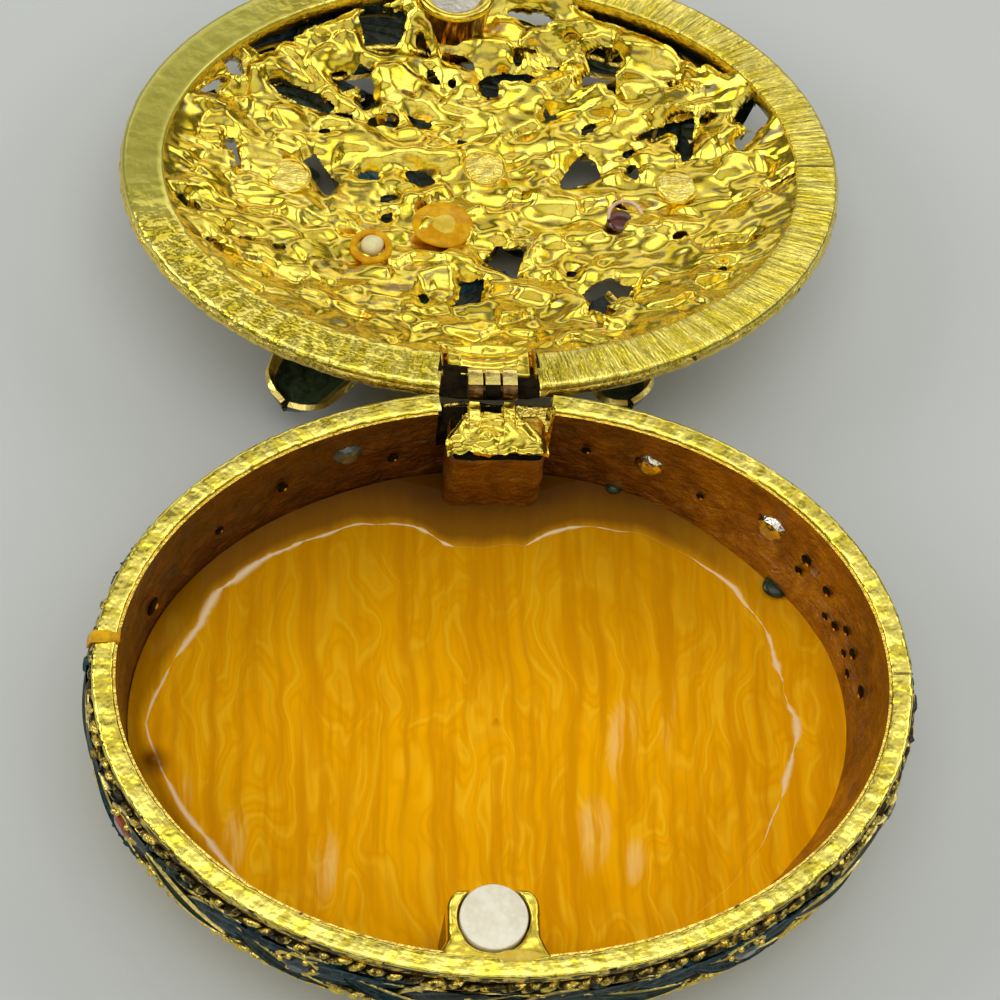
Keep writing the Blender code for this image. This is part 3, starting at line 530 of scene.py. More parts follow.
class Finish:
    """A material in the making. Its places are Object coordinates in millimetres."""

    def __init__(self, name):
        self.material = bpy.data.materials.new(name)
        self.material.use_nodes = True
        self.tree = self.material.node_tree
        self.shader = self.tree.nodes["Principled BSDF"]
        self.base = self.add("ShaderNodeTexCoord", output="Object")

    def add(self, kind, settings=None, inputs=None, output=0):
        node = self.tree.nodes.new(kind)
        for key, value in (settings or {}).items():
            if key == "stops":
                self.fill_ramp(node.color_ramp, value)
            else:
                setattr(node, key, value)
        for key, value in (inputs or {}).items():
            self.feed(node.inputs[key], value)
        return Wire(self, node.outputs[output])

    def feed(self, socket, value):
        if isinstance(value, Wire):
            self.tree.links.new(value.socket, socket)
        else:
            socket.default_value = value

    @staticmethod
    def fill_ramp(ramp, stops):
        for index, (place, colour) in enumerate(stops):
            stop = ramp.elements[index] if index < 2 else ramp.elements.new(place)
            stop.position = place
            stop.color = (*colour, 1.0)

    def set(self, **sockets):
        """Set or feed the shader's own sockets; underscores stand for spaces."""
        for key, value in sockets.items():
            if isinstance(value, tuple):
                value = (*value, 1.0)
            self.feed(self.shader.inputs[key.replace("_", " ")], value)
        return self.material

    def place(self, scale=(1.0, 1.0, 1.0), turn=(0.0, 0.0, 0.0), source=None):
        scale = tuple(part / MM for part in scale) if source is None else scale
        return self.add("ShaderNodeMapping", None,
                        {"Vector": source or self.base, "Rotation": turn, "Scale": scale})

    def part(self, axis, source=None):
        """x, y or z of the object's own coordinates, in millimetres."""
        split = self.add("ShaderNodeSeparateXYZ", None, {0: source or self.base}, output=axis)
        return split / MM if source is None else split

    def own_map(self):
        """The measures that lay_map kept on the piece."""
        return self.add("ShaderNodeUVMap", {"uv_map": "UVMap"})

    def grain(self, scale=1.0, detail=3.0, rough=0.5, twist=0.0, at=None, output=0):
        return self.add("ShaderNodeTexNoise", None,
                        {"Vector": at or self.place(), "Scale": scale, "Detail": detail, "Roughness": rough,
                         "Distortion": twist}, output=output)

    def creases(self, scale, at):
        """Distance to the nearest line of an irregular net."""
        return self.add("ShaderNodeTexVoronoi", {"feature": "DISTANCE_TO_EDGE"},
                        {"Vector": at, "Scale": scale}, output="Distance")

    def mix(self, factor, first, second):
        first, second = ((*c, 1.0) if isinstance(c, tuple) else c for c in (first, second))
        return self.add("ShaderNodeMix", {"data_type": "RGBA"}, {0: factor, 6: first, 7: second}, output=2)

    def ramp(self, value, *stops):
        return self.add("ShaderNodeValToRGB", {"stops": stops}, {0: value})

    def shift(self, vector, other, amount):
        """Push a place about by a colour's channels."""
        centred = self.add("ShaderNodeVectorMath", {"operation": "SUBTRACT"},
                           {0: other, 1: (0.5, 0.5, 0.5)})
        scaled = self.add("ShaderNodeVectorMath", {"operation": "MULTIPLY"},
                          {0: centred, 1: amount})
        return self.add("ShaderNodeVectorMath", {"operation": "ADD"}, {0: vector, 1: scaled})

    def bump(self, height, depth):
        """Relief in millimetres."""
        return self.add("ShaderNodeBump", None, {"Height": height, "Distance": depth * MM, "Strength": 1.0})


GOLD = (0.85, 0.65, 0.033)
GOLD_PALE = (0.96, 0.77, 0.08)
# Orange-brown gold, laid along creases as painted shade.
GOLD_CREASE_SHADE = (0.78, 0.44, 0.01)


def cast_gold(name, relief, rough):
    """Bright plating over crumpled and cast parts, under a thin clear lacquer, with painted shade: broad
    olive patches and orange-brown along a net of creases.
    """
    f = Finish(name)
    patches = f.grain(0.35, 3, 0.5)
    waves = f.grain(1.0, 1, 0.4, at=f.place((0.28, 0.55, 0.5)))
    warp = f.grain(0.6, 2, 0.5, output="Color")
    creases = f.creases(0.8, f.shift(f.place((0.7, 1.1, 0.9)), warp, (1.8, 1.8, 1.8)))
    # Broad olive patches: painted shade, standing in for dim surroundings seen in the gold.
    olive_shade = f.grain(1.0, 2, 0.5, at=f.place((0.13, 0.24, 0.2))).rise(0.46, 0.60)
    colour = f.mix(patches.rise(0.42, 0.64), GOLD, GOLD_PALE)
    colour = f.mix(olive_shade * 0.6, colour, (0.58, 0.47, 0.02))
    # Orange-brown along the net of creases: painted shade in the crevices.
    colour = f.mix((1 - creases.rise(0.0, 0.08)) * 0.7, colour, GOLD_CREASE_SHADE)
    return f.set(Base_Color=colour, Metallic=1.0, Roughness=rough + 0.10 * patches, Coat_Weight=0.6,
                 Coat_IOR=1.75, Coat_Roughness=0.12, Normal=f.bump(waves, relief))


def filed_gold():
    """Filed ends of the rivets: pale, scratched and less glossy."""
    f = Finish("filed_gold")
    marks = f.grain(1.0, 3, 0.6, at=f.place((0.8, 3.0, 1.0), (0.0, 0.0, 0.6)))
    colour = f.mix(marks.rise(0.38, 0.55), (0.90, 0.68, 0.06), (1.0, 0.84, 0.22))
    return f.set(Base_Color=colour, Metallic=1.0, Roughness=0.22, Coat_Weight=0.5,
                 Normal=f.bump(marks, 0.25))


def post_shade_gold():
    """Painted shade on the side of the magnet post: dark with orange streaks down it, and more gold towards
    its flanks.
    """
    f = Finish("post_shade_gold")
    spot = f.part(0) - POST[0]
    streaks = f.grain(1.0, 3, 0.6, at=f.place((2.2, 0.25, 0.25)))
    colour = f.ramp(streaks, (0.40, (0.035, 0.014, 0.003)), (0.56, (0.12, 0.04, 0.003)),
                    (0.68, (0.70, 0.30, 0.01)))
    side = spot.size().rise(2.2, 3.4)
    colour = f.mix(side * 0.3, colour, GOLD)
    return f.set(Base_Color=colour, Metallic=0.9, Roughness=0.22, Normal=f.bump(streaks, 0.2))


def rim_gold(name, strokes):
    """Flat rims: filed and hammered, with brushed strokes towards one end of the lid and, towards the other,
    a polished part painted olive as painted shade.
    """
    f = Finish(name)
    uv = f.own_map()
    fine = f.grain(1.0, 2, 0.5, at=f.place((0.85, 0.32, 1.0), (0.0, 0.0, 0.25), source=uv))
    scratch = f.grain(1.0, 2, 0.5, at=f.place((0.6, 3.0, 1.0), (0.0, 0.0, 0.6), source=uv))
    dents = f.grain(0.8, 2, 0.5)
    stroke = f.grain(1.0, 3, 0.6, at=f.place((2.4, 0.22, 1.0), (0.0, 0.0, 0.12), source=uv))
    side = f.part(0).rise(-16.0, 4.0) * strokes
    polished_with_painted_shade = (1 - f.part(0).rise(-24.0, -7.0)) * f.part(1).rise(41.0, 49.0) * strokes
    colour = f.mix(fine.rise(0.40, 0.60), (0.84, 0.67, 0.05), (1.0, 0.83, 0.15))
    colour = f.mix(stroke.rise(0.48, 0.62) * side * 0.65, colour, (0.46, 0.38, 0.03))
    # The polished part is painted olive: painted shade for dim surroundings seen in its smooth face.
    colour = f.mix(polished_with_painted_shade * 0.8, colour, (0.58, 0.55, 0.11))
    beaten = (dents * 1.1 + fine * 0.45 + scratch * 0.2) * (1 - side * 0.6) * (1 - polished_with_painted_shade * 0.8)
    return f.set(Base_Color=colour, Metallic=1.0, Roughness=0.18 + 0.12 * fine + 0.12 * polished_with_painted_shade,
                 Coat_Weight=0.45, Coat_IOR=1.7, Coat_Roughness=0.15,
                 Normal=f.bump(beaten + stroke * side * 1.05, 0.2 + 0.1 * strokes))


def relief_gold(name, dark):
    """Ropes, outlines and prongs, darkened in random patches: painted shade standing in for the shade in
    their hollows.
    """
    f = Finish(name)
    fine = f.grain(1.5, 4, 0.6)
    # Near-black patches are painted shade; a larger dark share paints more of them.
    dark_shade = f.grain(0.9, 3, 0.6).rise(0.60 - dark, 0.74 - dark)
    colour = f.mix(fine.rise(0.5, 0.7), (0.92, 0.70, 0.14), (0.50, 0.32, 0.03))
    colour = f.mix(dark_shade, colour, (0.05, 0.03, 0.004))
    return f.set(Base_Color=colour, Metallic=1.0 - 0.4 * dark_shade, Roughness=0.14 + 0.16 * fine,
                 Normal=f.bump(f.grain(2.2, 3, 0.6), 0.16))


def wall_lacquer(name, shade_x, lit_x):
    """Amber-brown lacquer over the cast metal, with painted light: lighter towards the right, and painted
    shade low at the right end.
    """
    f = Finish(name)
    cloud = f.grain(0.5, 5, 0.65)
    fine = f.grain(2.6, 4, 0.6)
    warp = f.grain(0.5, 3, 0.6, output="Color")
    worms = f.creases(0.5, f.shift(f.place((1.0, 1.0, 1.9)), warp, (3.0, 3.0, 3.0)))
    dark = f.ramp(cloud, (0.3, (0.040, 0.010, 0.001)), (0.52, (0.10, 0.026, 0.001)),
                  (0.72, (0.20, 0.06, 0.002)))
    lit_tone = f.ramp(cloud, (0.3, (0.19, 0.055, 0.001)), (0.52, (0.38, 0.13, 0.003)),
                   (0.72, (0.58, 0.25, 0.01)))
    # Painted shade low at the right end, and painted light that lightens the lacquer from its shaded to its
    # lit tone across x.
    end = f.part(0).rise(27.5, 30.0) * (1 - f.part(1).rise(3.0, 12.0))
    side = f.part(0).rise(shade_x, lit_x) * (1 - 0.55 * end)
    colour = f.mix(side, dark, lit_tone)
    height = fine * 0.6 + worms.rise(0.0, 0.25) * 0.22 + cloud * 0.5
    return f.set(Base_Color=colour, Metallic=0.15, Roughness=0.36, Coat_Weight=0.25,
                 Coat_Roughness=0.15, Normal=f.bump(height, 0.36))


def marbled_resin():
    """Pearly amber resin, stirred from front to back, with painted shade darker towards the back and where it
    creeps up the wall, a painted highlight along the crease and pale spots of painted glare.
    """
    f = Finish("marbled_resin")
    push = f.grain(0.09, 2, 0.5, output="Color")
    streak = f.grain(1.0, 4, 0.6, at=f.shift(f.place((0.85, 0.05, 0.2)), push, (2.6, 0.3, 0.0)))
    fold = f.grain(1.0, 2, 0.35, at=f.shift(f.place((0.28, 0.085, 0.2)), push, (1.9, 0.8, 0.0)))
    lines = ((fold * 42.0).sine() * 0.5 + 0.5) ** 4.0
    thin = ((fold * 110.0).sine() * 0.5 + 0.5) ** 2.0
    deep, sun, pale = (0.76, 0.30, 0.0), (0.98, 0.44, 0.0), (1.0, 0.60, 0.02)
    colour = f.mix(streak.rise(0.30, 0.66), deep, sun)
    colour = f.mix(lines * streak.rise(0.35, 0.55) * 0.4, colour, pale)
    colour = f.mix(thin * 0.32, colour, deep)
    x, y = f.part(0), f.part(1)
    # Pale spots of painted glare.
    for glare_x, glare_y, long, wide in GLARE_SPOTS:
        away = ((x - glare_x - 0.12 * (y - glare_y)) / wide) ** 2.0 + ((y - glare_y) / long) ** 2.0
        colour = f.mix((1 - away.rise(0.0, 1.8)) * streak.rise(0.40, 0.62) * 0.75, colour, (0.94, 0.57, 0.16))
    uv = f.own_map()
    past, highlight_share = f.part(0, uv), f.part(1, uv)
    back = y.rise(0.0, 13.0)
    left = (0.0 - x).rise(17.0, 27.0) * 0.75
    right = x.rise(13.0, 26.0)
    # Painted shadow of the back wall: darker towards the back.
    colour = f.mix(y.rise(-3.0, 19.0) * (1 - 0.4 * right) * 0.5, colour, (0.33, 0.14, 0.0))
    # Painted shade where the resin creeps up the wall, standing in for the dark wall seen in it.
    wall_shade = back.math("MAXIMUM", back, left) * (1 - right * 0.75)
    creep = past.rise(-0.3, 1.2)
    colour = f.mix(creep * wall_shade * 0.85, colour, (0.15, 0.052, 0.0))
    colour = f.mix(past.rise(1.0, 4.5) * wall_shade * 0.75, colour, (0.06, 0.018, 0.0))
    # A pale line along the crease, with a stronger coat: a painted highlight.
    width = f.grain(0.25, 3, 0.6).rise(0.36, 0.62) * 0.58 * highlight_share + 0.005
    highlight_line = 1 - ((past - 0.1).size() / width).rise(0.1, 1.0)
    colour = f.mix(highlight_line * 0.7, colour, (1.0, 0.78, 0.46))
    spot = ((x + 28.2) ** 2.0 + (y + 3.5) ** 2.0) ** 0.5
    colour = f.mix((1 - spot.rise(0.3, 1.9)) * 0.85, colour, (0.17, 0.055, 0.0))
    return f.set(Base_Color=colour, Roughness=0.4, Specular_IOR_Level=0.0, Coat_Weight=0.04 + 0.6 * highlight_line,
                 Coat_Roughness=0.05)


def enamel(name, low, high, edge=0.8, vein=0.2):
    """Glossy enamel with streaked veins, inside a gold outline where a piece has an edge."""
    f = Finish(name)
    streaks = f.grain(0.55, 4, 0.6, twist=1.2)
    veins = ((f.grain(0.35, 3, 0.5) * 40.0).sine() * 0.5 + 0.5) ** 6
    colour = f.mix(streaks.rise(0.35, 0.68), low, high)
    colour = f.mix(veins * vein, colour, (0.15, 0.24, 0.20))
    metal = 0.0
    if edge:
        uv = f.own_map()
        out = ((f.part(1, uv) * 2.0 - 1.0).size()).rise(edge - 0.04, edge + 0.04)
        colour = f.mix(out, colour, (0.86, 0.68, 0.20))
        metal = out
    return f.set(Base_Color=colour, Metallic=metal, Roughness=0.3, Coat_Weight=0.12,
                 Coat_Roughness=0.06, Specular_IOR_Level=0.12, Normal=f.bump(streaks, 0.25))


def plain_gloss(name, low, high, scale=0.8, rough=0.2, metal=0.0, coat=0.0, depth=0.05, spec=0.5):
    """Two-tone clouded finish for small pieces."""
    f = Finish(name)
    cloud = f.grain(scale, 4, 0.6)
    return f.set(Base_Color=f.mix(cloud.rise(0.35, 0.65), low, high), Metallic=metal,
                 Roughness=rough, Coat_Weight=coat, Specular_IOR_Level=spec,
                 Normal=f.bump(f.grain(scale * 3, 3, 0.6), depth))


def crystal():
    f = Finish("clear_crystal")
    return f.set(Base_Color=(0.97, 0.98, 1.0), Roughness=0.02, Transmission_Weight=1.0, IOR=1.6)


def table_top():
    f = Finish("table_top")
    soft = f.grain(0.02, 2, 0.5)
    return f.set(Base_Color=f.mix(soft, (0.565, 0.59, 0.58), (0.58, 0.605, 0.595)), Roughness=0.6)


# ------------------------------------------------------------------ bowl

def wall_lean(angle, z):
    """How far the inner wall leans inwards towards the resin, at the right end only."""
    return 1.15 * smooth_step(0.35, 0.85, np.cos(angle)) * smooth_step(12.0, 6.5, z)


def make_bowl(finishes):
    """Hollow bowl in one casting: lacquered inside, enamel ground outside, gold foot, and near-black painted
    shade behind the ropes, round the wall holes and in the hinge notch.
    """
    inside = [(3.2, -14.0), (3.2, -7.5), (4.3, -4.4), (5.2, -3.1), (6.0, -2.62)]
    inside += [(6.3 + 0.3 * step, -2.55 + 0.02 * step) for step in range(34)]
    outside = [(16.2, -1.0), (15.6, -0.25), (14.9, -0.1), (14.2, 0.0), (13.6, 0.1)]
    outside += [(13.2 - 0.4 * step, 0.12) for step in range(12)]
    outside += [(8.2, 0.1), (7.6, 0.05), (6.9, -0.05), (6.4, -0.45), (5.7, -1.1), (5.0, -1.8), (4.3, -3.0),
                (3.5, -4.4), (2.8, -5.5), (1.8, -6.1), (0.8, -6.5), (0.25, -6.8), (0.0, -7.2),
                (0.0, -8.2), (0.5, -8.8), (0.5, -16.0)]
    bowl = moulding("bowl_casting", inside + outside, WALL_SIDES, BOWL_LENGTH, BOWL_WIDTH, closed=False)
    rows = face_rows(bowl, WALL_SIDES)
    close_ends(bowl)
    xyz = points(bowl)
    x, y, z = xyz.T
    share = oval_share(xyz, BOWL_LENGTH, BOWL_WIDTH)
    outward = np.stack([x / BOWL_LENGTH ** 2, y / BOWL_WIDTH ** 2, 0 * z], 1)
    outward /= np.maximum(np.linalg.norm(outward, axis=1), 1e-9)[:, None]
    depth = (1 - share) * BOWL_WIDTH
    inner = (z > 6.1) & (z < 16.35) & (depth > 1.2)
    lumps = rumple(xyz, 2.6, 3.0, 3) * 0.22 + rumple(xyz, 0.9, 9.0, 2) * 0.07
    calm = smooth_step(6.2, 7.5, z) * (1 - smooth_step(13.8, 15.6, z))
    move = np.where(inner, lumps * calm, 0.0)
    pierced = np.zeros(len(x))
    for hole_x, hole_y, hole_z, wide, tall, deep in WALL_HOLES:
        far = np.hypot(np.hypot(x - hole_x, y - hole_y) / wide, (z - hole_z) / tall)
        far = far + 0.22 * rumple(xyz, 0.8, 21.0)
        move += np.where(inner, deep * (1 - smooth_step(0.8, 1.05, far)), 0.0)
        pierced = np.maximum(pierced, inner & (far < 0.9))
    fluted = (z < 6.0) & (z > 0.2) & (depth > 1.0) & (depth < 8.0) & (share < 1.0) & (share > 0.7)
    angle = oval_angle(xyz, BOWL_LENGTH, BOWL_WIDTH)
    flute = 0.28 * np.abs(np.cos(18 * angle))
    move -= np.where((z > 5.9) & (z < 16.35) & (depth > 1.2), wall_lean(angle, z), 0.0)
    notch = at_hinge(xyz, NOTCH, 19)
    xyz += outward * (move - np.where(fluted & ~inner, flute, 0.0))[:, None]
    xyz[:, 2] = np.where(notch, np.minimum(xyz[:, 2], 13.4), xyz[:, 2])
    shape(bowl, xyz)
    paint(bowl, *finishes)
    row = np.full(len(bowl.data.polygons), 0)
    row[:len(rows)] = rows
    paint_faces(bowl, middles(bowl)[:, 2] < 7.4, 2)
    height = middles(bowl)[:, 2]
    # Bands behind the two ropes: near-black painted shade between the ropes and the wall.
    paint_faces(bowl, ((height > 13.7) & (height < 15.0)) | ((height > 7.3) & (height < 8.7)), 3)
    paint_faces(bowl, row < len(inside), 1)
    paint_faces(bowl, (row >= len(inside)) & (height > 15.0), 2)
    corners = [list(face.vertices) for face in bowl.data.polygons[:len(rows)]]
    deep_faces = np.zeros(len(bowl.data.polygons), bool)
    deep_faces[:len(rows)] = pierced[np.array(corners)].min(1) > 0
    # Faces round the wall holes: near-black painted shade in the holes.
    paint_faces(bowl, deep_faces, 3)
    mid = middles(bowl)
    at_notch = at_hinge(mid, NOTCH, 19) & (mid[:, 2] > 11)
    # The hinge notch: near-black painted shade, gold on its right part.
    paint_faces(bowl, at_notch, 3)
    paint_faces(bowl, at_notch & (mid[:, 0] > 2), 2)
    return soften(tidy(bowl), 60)


# The resin's creep: direction in degrees, width, and how strong the painted highlight along its crease is.
CREEP = (
    (-180, 1.6, 0.2), (-165, 2.6, 0.5), (-150, 2.9, 0.8), (-125, 2.0, 0.4), (-60, 2.2, 0.0), (-35, 4.2, 0.0),
    (-22, 5.2, 0.6), (-16, 5.6, 0.9), (2, 5.1, 1.0), (9, 5.8, 1.0), (23, 4.8, 0.9), (38, 3.5, 0.7),
    (50, 3.3, 0.0), (62, 3.2, 0.0), (74, 4.2, 0.7), (79, 5.6, 0.9), (82, 6.5, 0.0), (91, 6.9, 0.0),
    (98, 6.5, 0.0), (100, 6.1, 1.0), (105, 4.4, 0.9), (114, 3.1, 0.5), (118, 3.0, 0.1), (124, 2.9, 0.8),
    (145, 2.4, 1.0), (155, 3.3, 1.0), (172, 2.3, 0.5), (180, 1.6, 0.1),
)
# Pale spots painted on the resin as painted glare from ripples: x, y, half length, half width.
GLARE_SPOTS = (
    (-21.6, -10.4, 2.6, 0.9), (-14.2, -12.6, 2.8, 0.9), (10.6, -1.6, 3.2, 1.2), (7.6, -10.0, 3.0, 1.4),
    (11.0, -12.2, 1.8, 0.9), (-25.6, -6.6, 1.8, 0.5), (14.6, 1.2, 3.4, 0.5),
)
# Specks and bubbles in it: x, y, height, width.
SPECKS = ((-28.2, -3.4, 0.5, 0.45), (-27.6, -3.2, 0.22, 1.3), (14.9, 2.8, 0.1, 0.4), (12.1, 9.8, 0.08, 0.3))
# Light holes in the inner wall: x, y, z, half width, half height, depth.
WALL_HOLES = (
    (23.9, 15.9, 11.6, 1.55, 1.5, 1.5), (-12.9, 22.9, 12.5, 1.3, 0.75, 1.3),
    (13.4, 21.4, 11.6, 1.3, 1.1, 1.4), (27.0, 11.6, 11.5, 0.6, 0.55, 0.9),
)
# Casting pits in the inner wall: x, y, z, size.
WALL_PITS = (
    (26.4, 12.6, 11.8, 0.9), (26.1, 12.6, 10.0, 0.7), (28.0, 10.0, 11.0, 0.8), (28.2, 8.7, 8.9, 0.6),
    (29.0, 7.6, 9.3, 0.7), (29.6, 6.6, 10.4, 0.7), (29.5, 5.2, 8.8, 0.6), (29.9, 4.6, 9.9, 0.8),
    (29.8, 3.5, 8.3, 0.7), (30.3, 1.2, 9.6, 0.9), (-18.6, 20.3, 11.2, 0.8), (-24.0, 16.4, 10.3, 0.7),
    (18.0, 19.6, 10.4, 0.6), (8.0, 23.0, 11.8, 0.7), (-8.4, 22.9, 10.2, 0.8), (-28.8, 9.0, 9.6, 1.3),
)


def lay_map(piece, first, second):
    """Keep two measures of each point as the piece's UV map."""
    mesh = piece.data
    layer = mesh.uv_layers.get("UVMap") or mesh.uv_layers.new(name="UVMap")
    corner = np.empty(len(mesh.loops), np.int32)
    mesh.loops.foreach_get("vertex_index", corner)
    layer.data.foreach_set("uv", np.stack([first[corner], second[corner]], 1).ravel())
    return piece


def lay_wrap(piece, length, width):
    """UV map that runs round an oval: arc length, then distance out."""
    angles, run = arc_table(length, width)
    xyz = points(piece)
    angle = np.mod(oval_angle(xyz, length, width), FULL_TURN)
    return lay_map(piece, np.interp(angle, angles, run), oval_share(xyz, length, width) * width)


def make_rim(finish, edge_shade):
    """Flat hammered rim with a ragged inner edge, open at the hinge; its rounded outer edge is painted darker
    as painted shade.
    """
    rows = [(15.2, -1.55), (16.2, -1.72), (16.42, -1.66), (16.5, -1.5), (16.5, -1.2), (16.5, -0.9),
            (16.5, -0.6), (16.5, -0.32), (16.45, -0.12), (16.3, 0.0), (16.0, 0.05), (15.6, 0.04),
            (15.2, -0.04), (14.9, -0.3)]
    rim = moulding("bowl_rim", rows, WALL_SIDES, BOWL_LENGTH, BOWL_WIDTH)
    cut_faces(rim, at_hinge(middles(rim), NOTCH, 15))
    close_ends(rim)
    xyz = points(rim)
    share = oval_share(xyz, BOWL_LENGTH, BOWL_WIDTH)
    top = smooth_step(15.9, 16.4, xyz[:, 2])
    beaten = facets(xyz[:, 0], xyz[:, 1], 0.8, 4.0)
    inner_edge = (1 - smooth_step(0.937, 0.952, share)) * top
    ragged = 0.13 * rumple(xyz, 0.55, 2.0, 2) * inner_edge
    wavy = 0.16 * rumple(xyz, 1.6, 7.0, 2) * (1 - top) * (share > 0.98)
    xyz[:, :2] *= (1 + (ragged + wavy) / 28.0)[:, None]
    xyz[:, 2] = np.minimum(xyz[:, 2] + 0.2 * beaten * top - 0.03 * top, 16.58)
    shape(rim, xyz)
    tidy(rim, 60)
    lay_wrap(rim, BOWL_LENGTH, BOWL_WIDTH)
    paint(rim, finish, edge_shade)
    mid = middles(rim)
    # Below a ragged line the rounded outer edge takes the shaded relief gold: painted shade.
    shade_top = 16.3 + 0.16 * rumple(mid, 0.7, 3.0)
    return paint_faces(rim, (mid[:, 2] < shade_top) & (oval_share(mid, BOWL_LENGTH, BOWL_WIDTH) > 0.985), 1)


def make_rope(name, height, offset, pitch, thick, finish, seed, skip=None):
    """A twisted rope as a row of slanted, slightly uneven strands."""
    length, width = BOWL_LENGTH + offset, BOWL_WIDTH + offset
    strand = ball(name + "_strand", 8, 6)
    total = wall_length(length, width)
    count = round(total / pitch)
    pieces = []
    noise.seed_set(seed)
    for index in range(count):
        run = total * index / count
        spot, ahead = on_wall(np.array([run, run + 0.2]), np.full(2, height), np.zeros(2), length, width)
        if skip and spot[1] > 0 and skip[0] < spot[0] < skip[1]:
            continue
        along = Vector(ahead - spot).normalized()
        outward = along.cross(Vector(UP))
        turn = Matrix((along, outward, Vector(UP))).transposed().to_4x4()
        wander = noise.random_unit_vector() * 0.22
        slant = Matrix.Rotation(math.radians(-32 + 60 * wander.x), 4, "Y")
        stretch = Matrix.Diagonal((pitch * (0.72 + wander.z), thick * (1 + wander.y), thick * 0.8, 1.0))
        place = Matrix.Translation(Vector(spot) * MM + wander * 0.3 * MM) @ turn @ slant @ stretch
        pieces.append(copy_of(strand, place))
    drop(strand)
    rope = join(name, pieces)
    return paint(soften(rope, 35), finish)


# ------------------------------------------------------------------ resin, hinge, clasp and frieze

def radial_gap(x, y, length, width):
    """Distance in from an oval's outline, measured towards the middle."""
    share = np.hypot(x / length, y / width)
    return (1 - share) * np.hypot(x, y) / np.maximum(share, 1e-6)


def box_gap(x, y, low_x, high_x, low_y, high_y):
    """Distance to a box seen from above; 0 inside it."""
    return np.hypot(np.maximum(np.maximum(low_x - x, x - high_x), 0),
                    np.maximum(np.maximum(low_y - y, y - high_y), 0))


def make_resin(finish):
    """Poured resin: level in the middle, with a crease where it starts to creep up the wall."""
    pool = disc_grid("resin_pool", 260, 200)
    xyz = points(pool)
    radius = np.hypot(xyz[:, 0], xyz[:, 1])
    spread = 1 + 0.15 * (1 - radius)
    x, y = xyz[:, 0] * spread * RESIN_LENGTH, xyz[:, 1] * spread * RESIN_WIDTH
    spots = floor_spots(x, y)
    degrees, widths, painted_shine = np.array(CREEP).T
    direction = np.degrees(np.arctan2(y / RESIN_WIDTH, x / RESIN_LENGTH))
    width = np.interp(direction, degrees, widths)
    width = width * (1 + 0.06 * rumple(spots, 2.5, 4.0))
    gap = radial_gap(x, y, RESIN_LENGTH, RESIN_WIDTH)
    past = width - gap
    inward = 1 - gap / width
    reach = np.maximum(inward, 0)
    climb = 0.19 * width * (np.sqrt(reach ** 2 + 0.0004) + 0.35 * reach ** 2.5)
    block = box_gap(x, y, BLOCK[0] - 0.1, BLOCK[1] + 0.1, BLOCK[2], 30)
    clasp = box_gap(x, y, -5.4, 2.1, -30, -18.0)
    climb = np.maximum(climb, 0.45 * np.exp(-(block / 0.6) ** 1.4))
    climb = np.maximum(climb, 0.5 * np.maximum(0, 1 - clasp / 1.3) ** 1.5)
    z = RESIN_LEVEL + np.minimum(climb, 1.1) + 0.02 * rumple(spots * (1, 0.5, 1), 3.5, 1.0, 2)
    for speck_x, speck_y, high, wide in SPECKS:
        z = z + high * np.exp(-((x - speck_x) ** 2 + (y - speck_y) ** 2) / wide ** 2)
    shape(pool, np.stack([x, y, z], 1))
    lay_map(pool, past, np.interp(direction, degrees, painted_shine))
    thicken(pool, 1.2)
    return paint(tidy(pool, 80), finish)


def make_block(finish, gap, gold):
    """Cast hinge block inside the wall, rounded and a little lumpy."""
    bpy.ops.mesh.primitive_cube_add(size=MM)
    block = fresh("hinge_block")
    low_x, high_x, front, back = BLOCK
    block.data.transform(Matrix.Translation(((low_x + high_x) / 2 * MM, (front + back) / 2 * MM, 10.1 * MM))
                         @ Matrix.Diagonal((high_x - low_x, back - front, 9.6, 1)))
    round_edges(block, 0.9, 5)
    take(block)
    edit()
    bpy.ops.mesh.subdivide(number_cuts=5)
    leave()
    modify(block, "SUBSURF", levels=1, render_levels=1)
    xyz = points(block)
    lumps = rumple(xyz, 1.6, 5.0, 3) * 0.16
    waist = 0.35 * np.exp(-((xyz[:, 2] - 12.6) / 0.9) ** 2)
    centre = np.array([(low_x + high_x) / 2, back, 0])
    away = xyz - centre
    away[:, 2] = 0
    away /= np.maximum(np.linalg.norm(away, axis=1), 0.5)[:, None]
    xyz += away * (lumps - waist * 0.4)[:, None]
    shape(block, xyz)
    tidy(block, 60)
    paint(block, finish, gap, gold)
    # The top under the cap is painted near-black as painted shade, with orange gold on its right back corner.
    top = facing_of(block)[:, 2] > 0.6
    paint_faces(block, top, 1)
    return paint_faces(block, top & (middles(block)[:, 0] > 2.2) & (middles(block)[:, 1] > 20.3), 2)


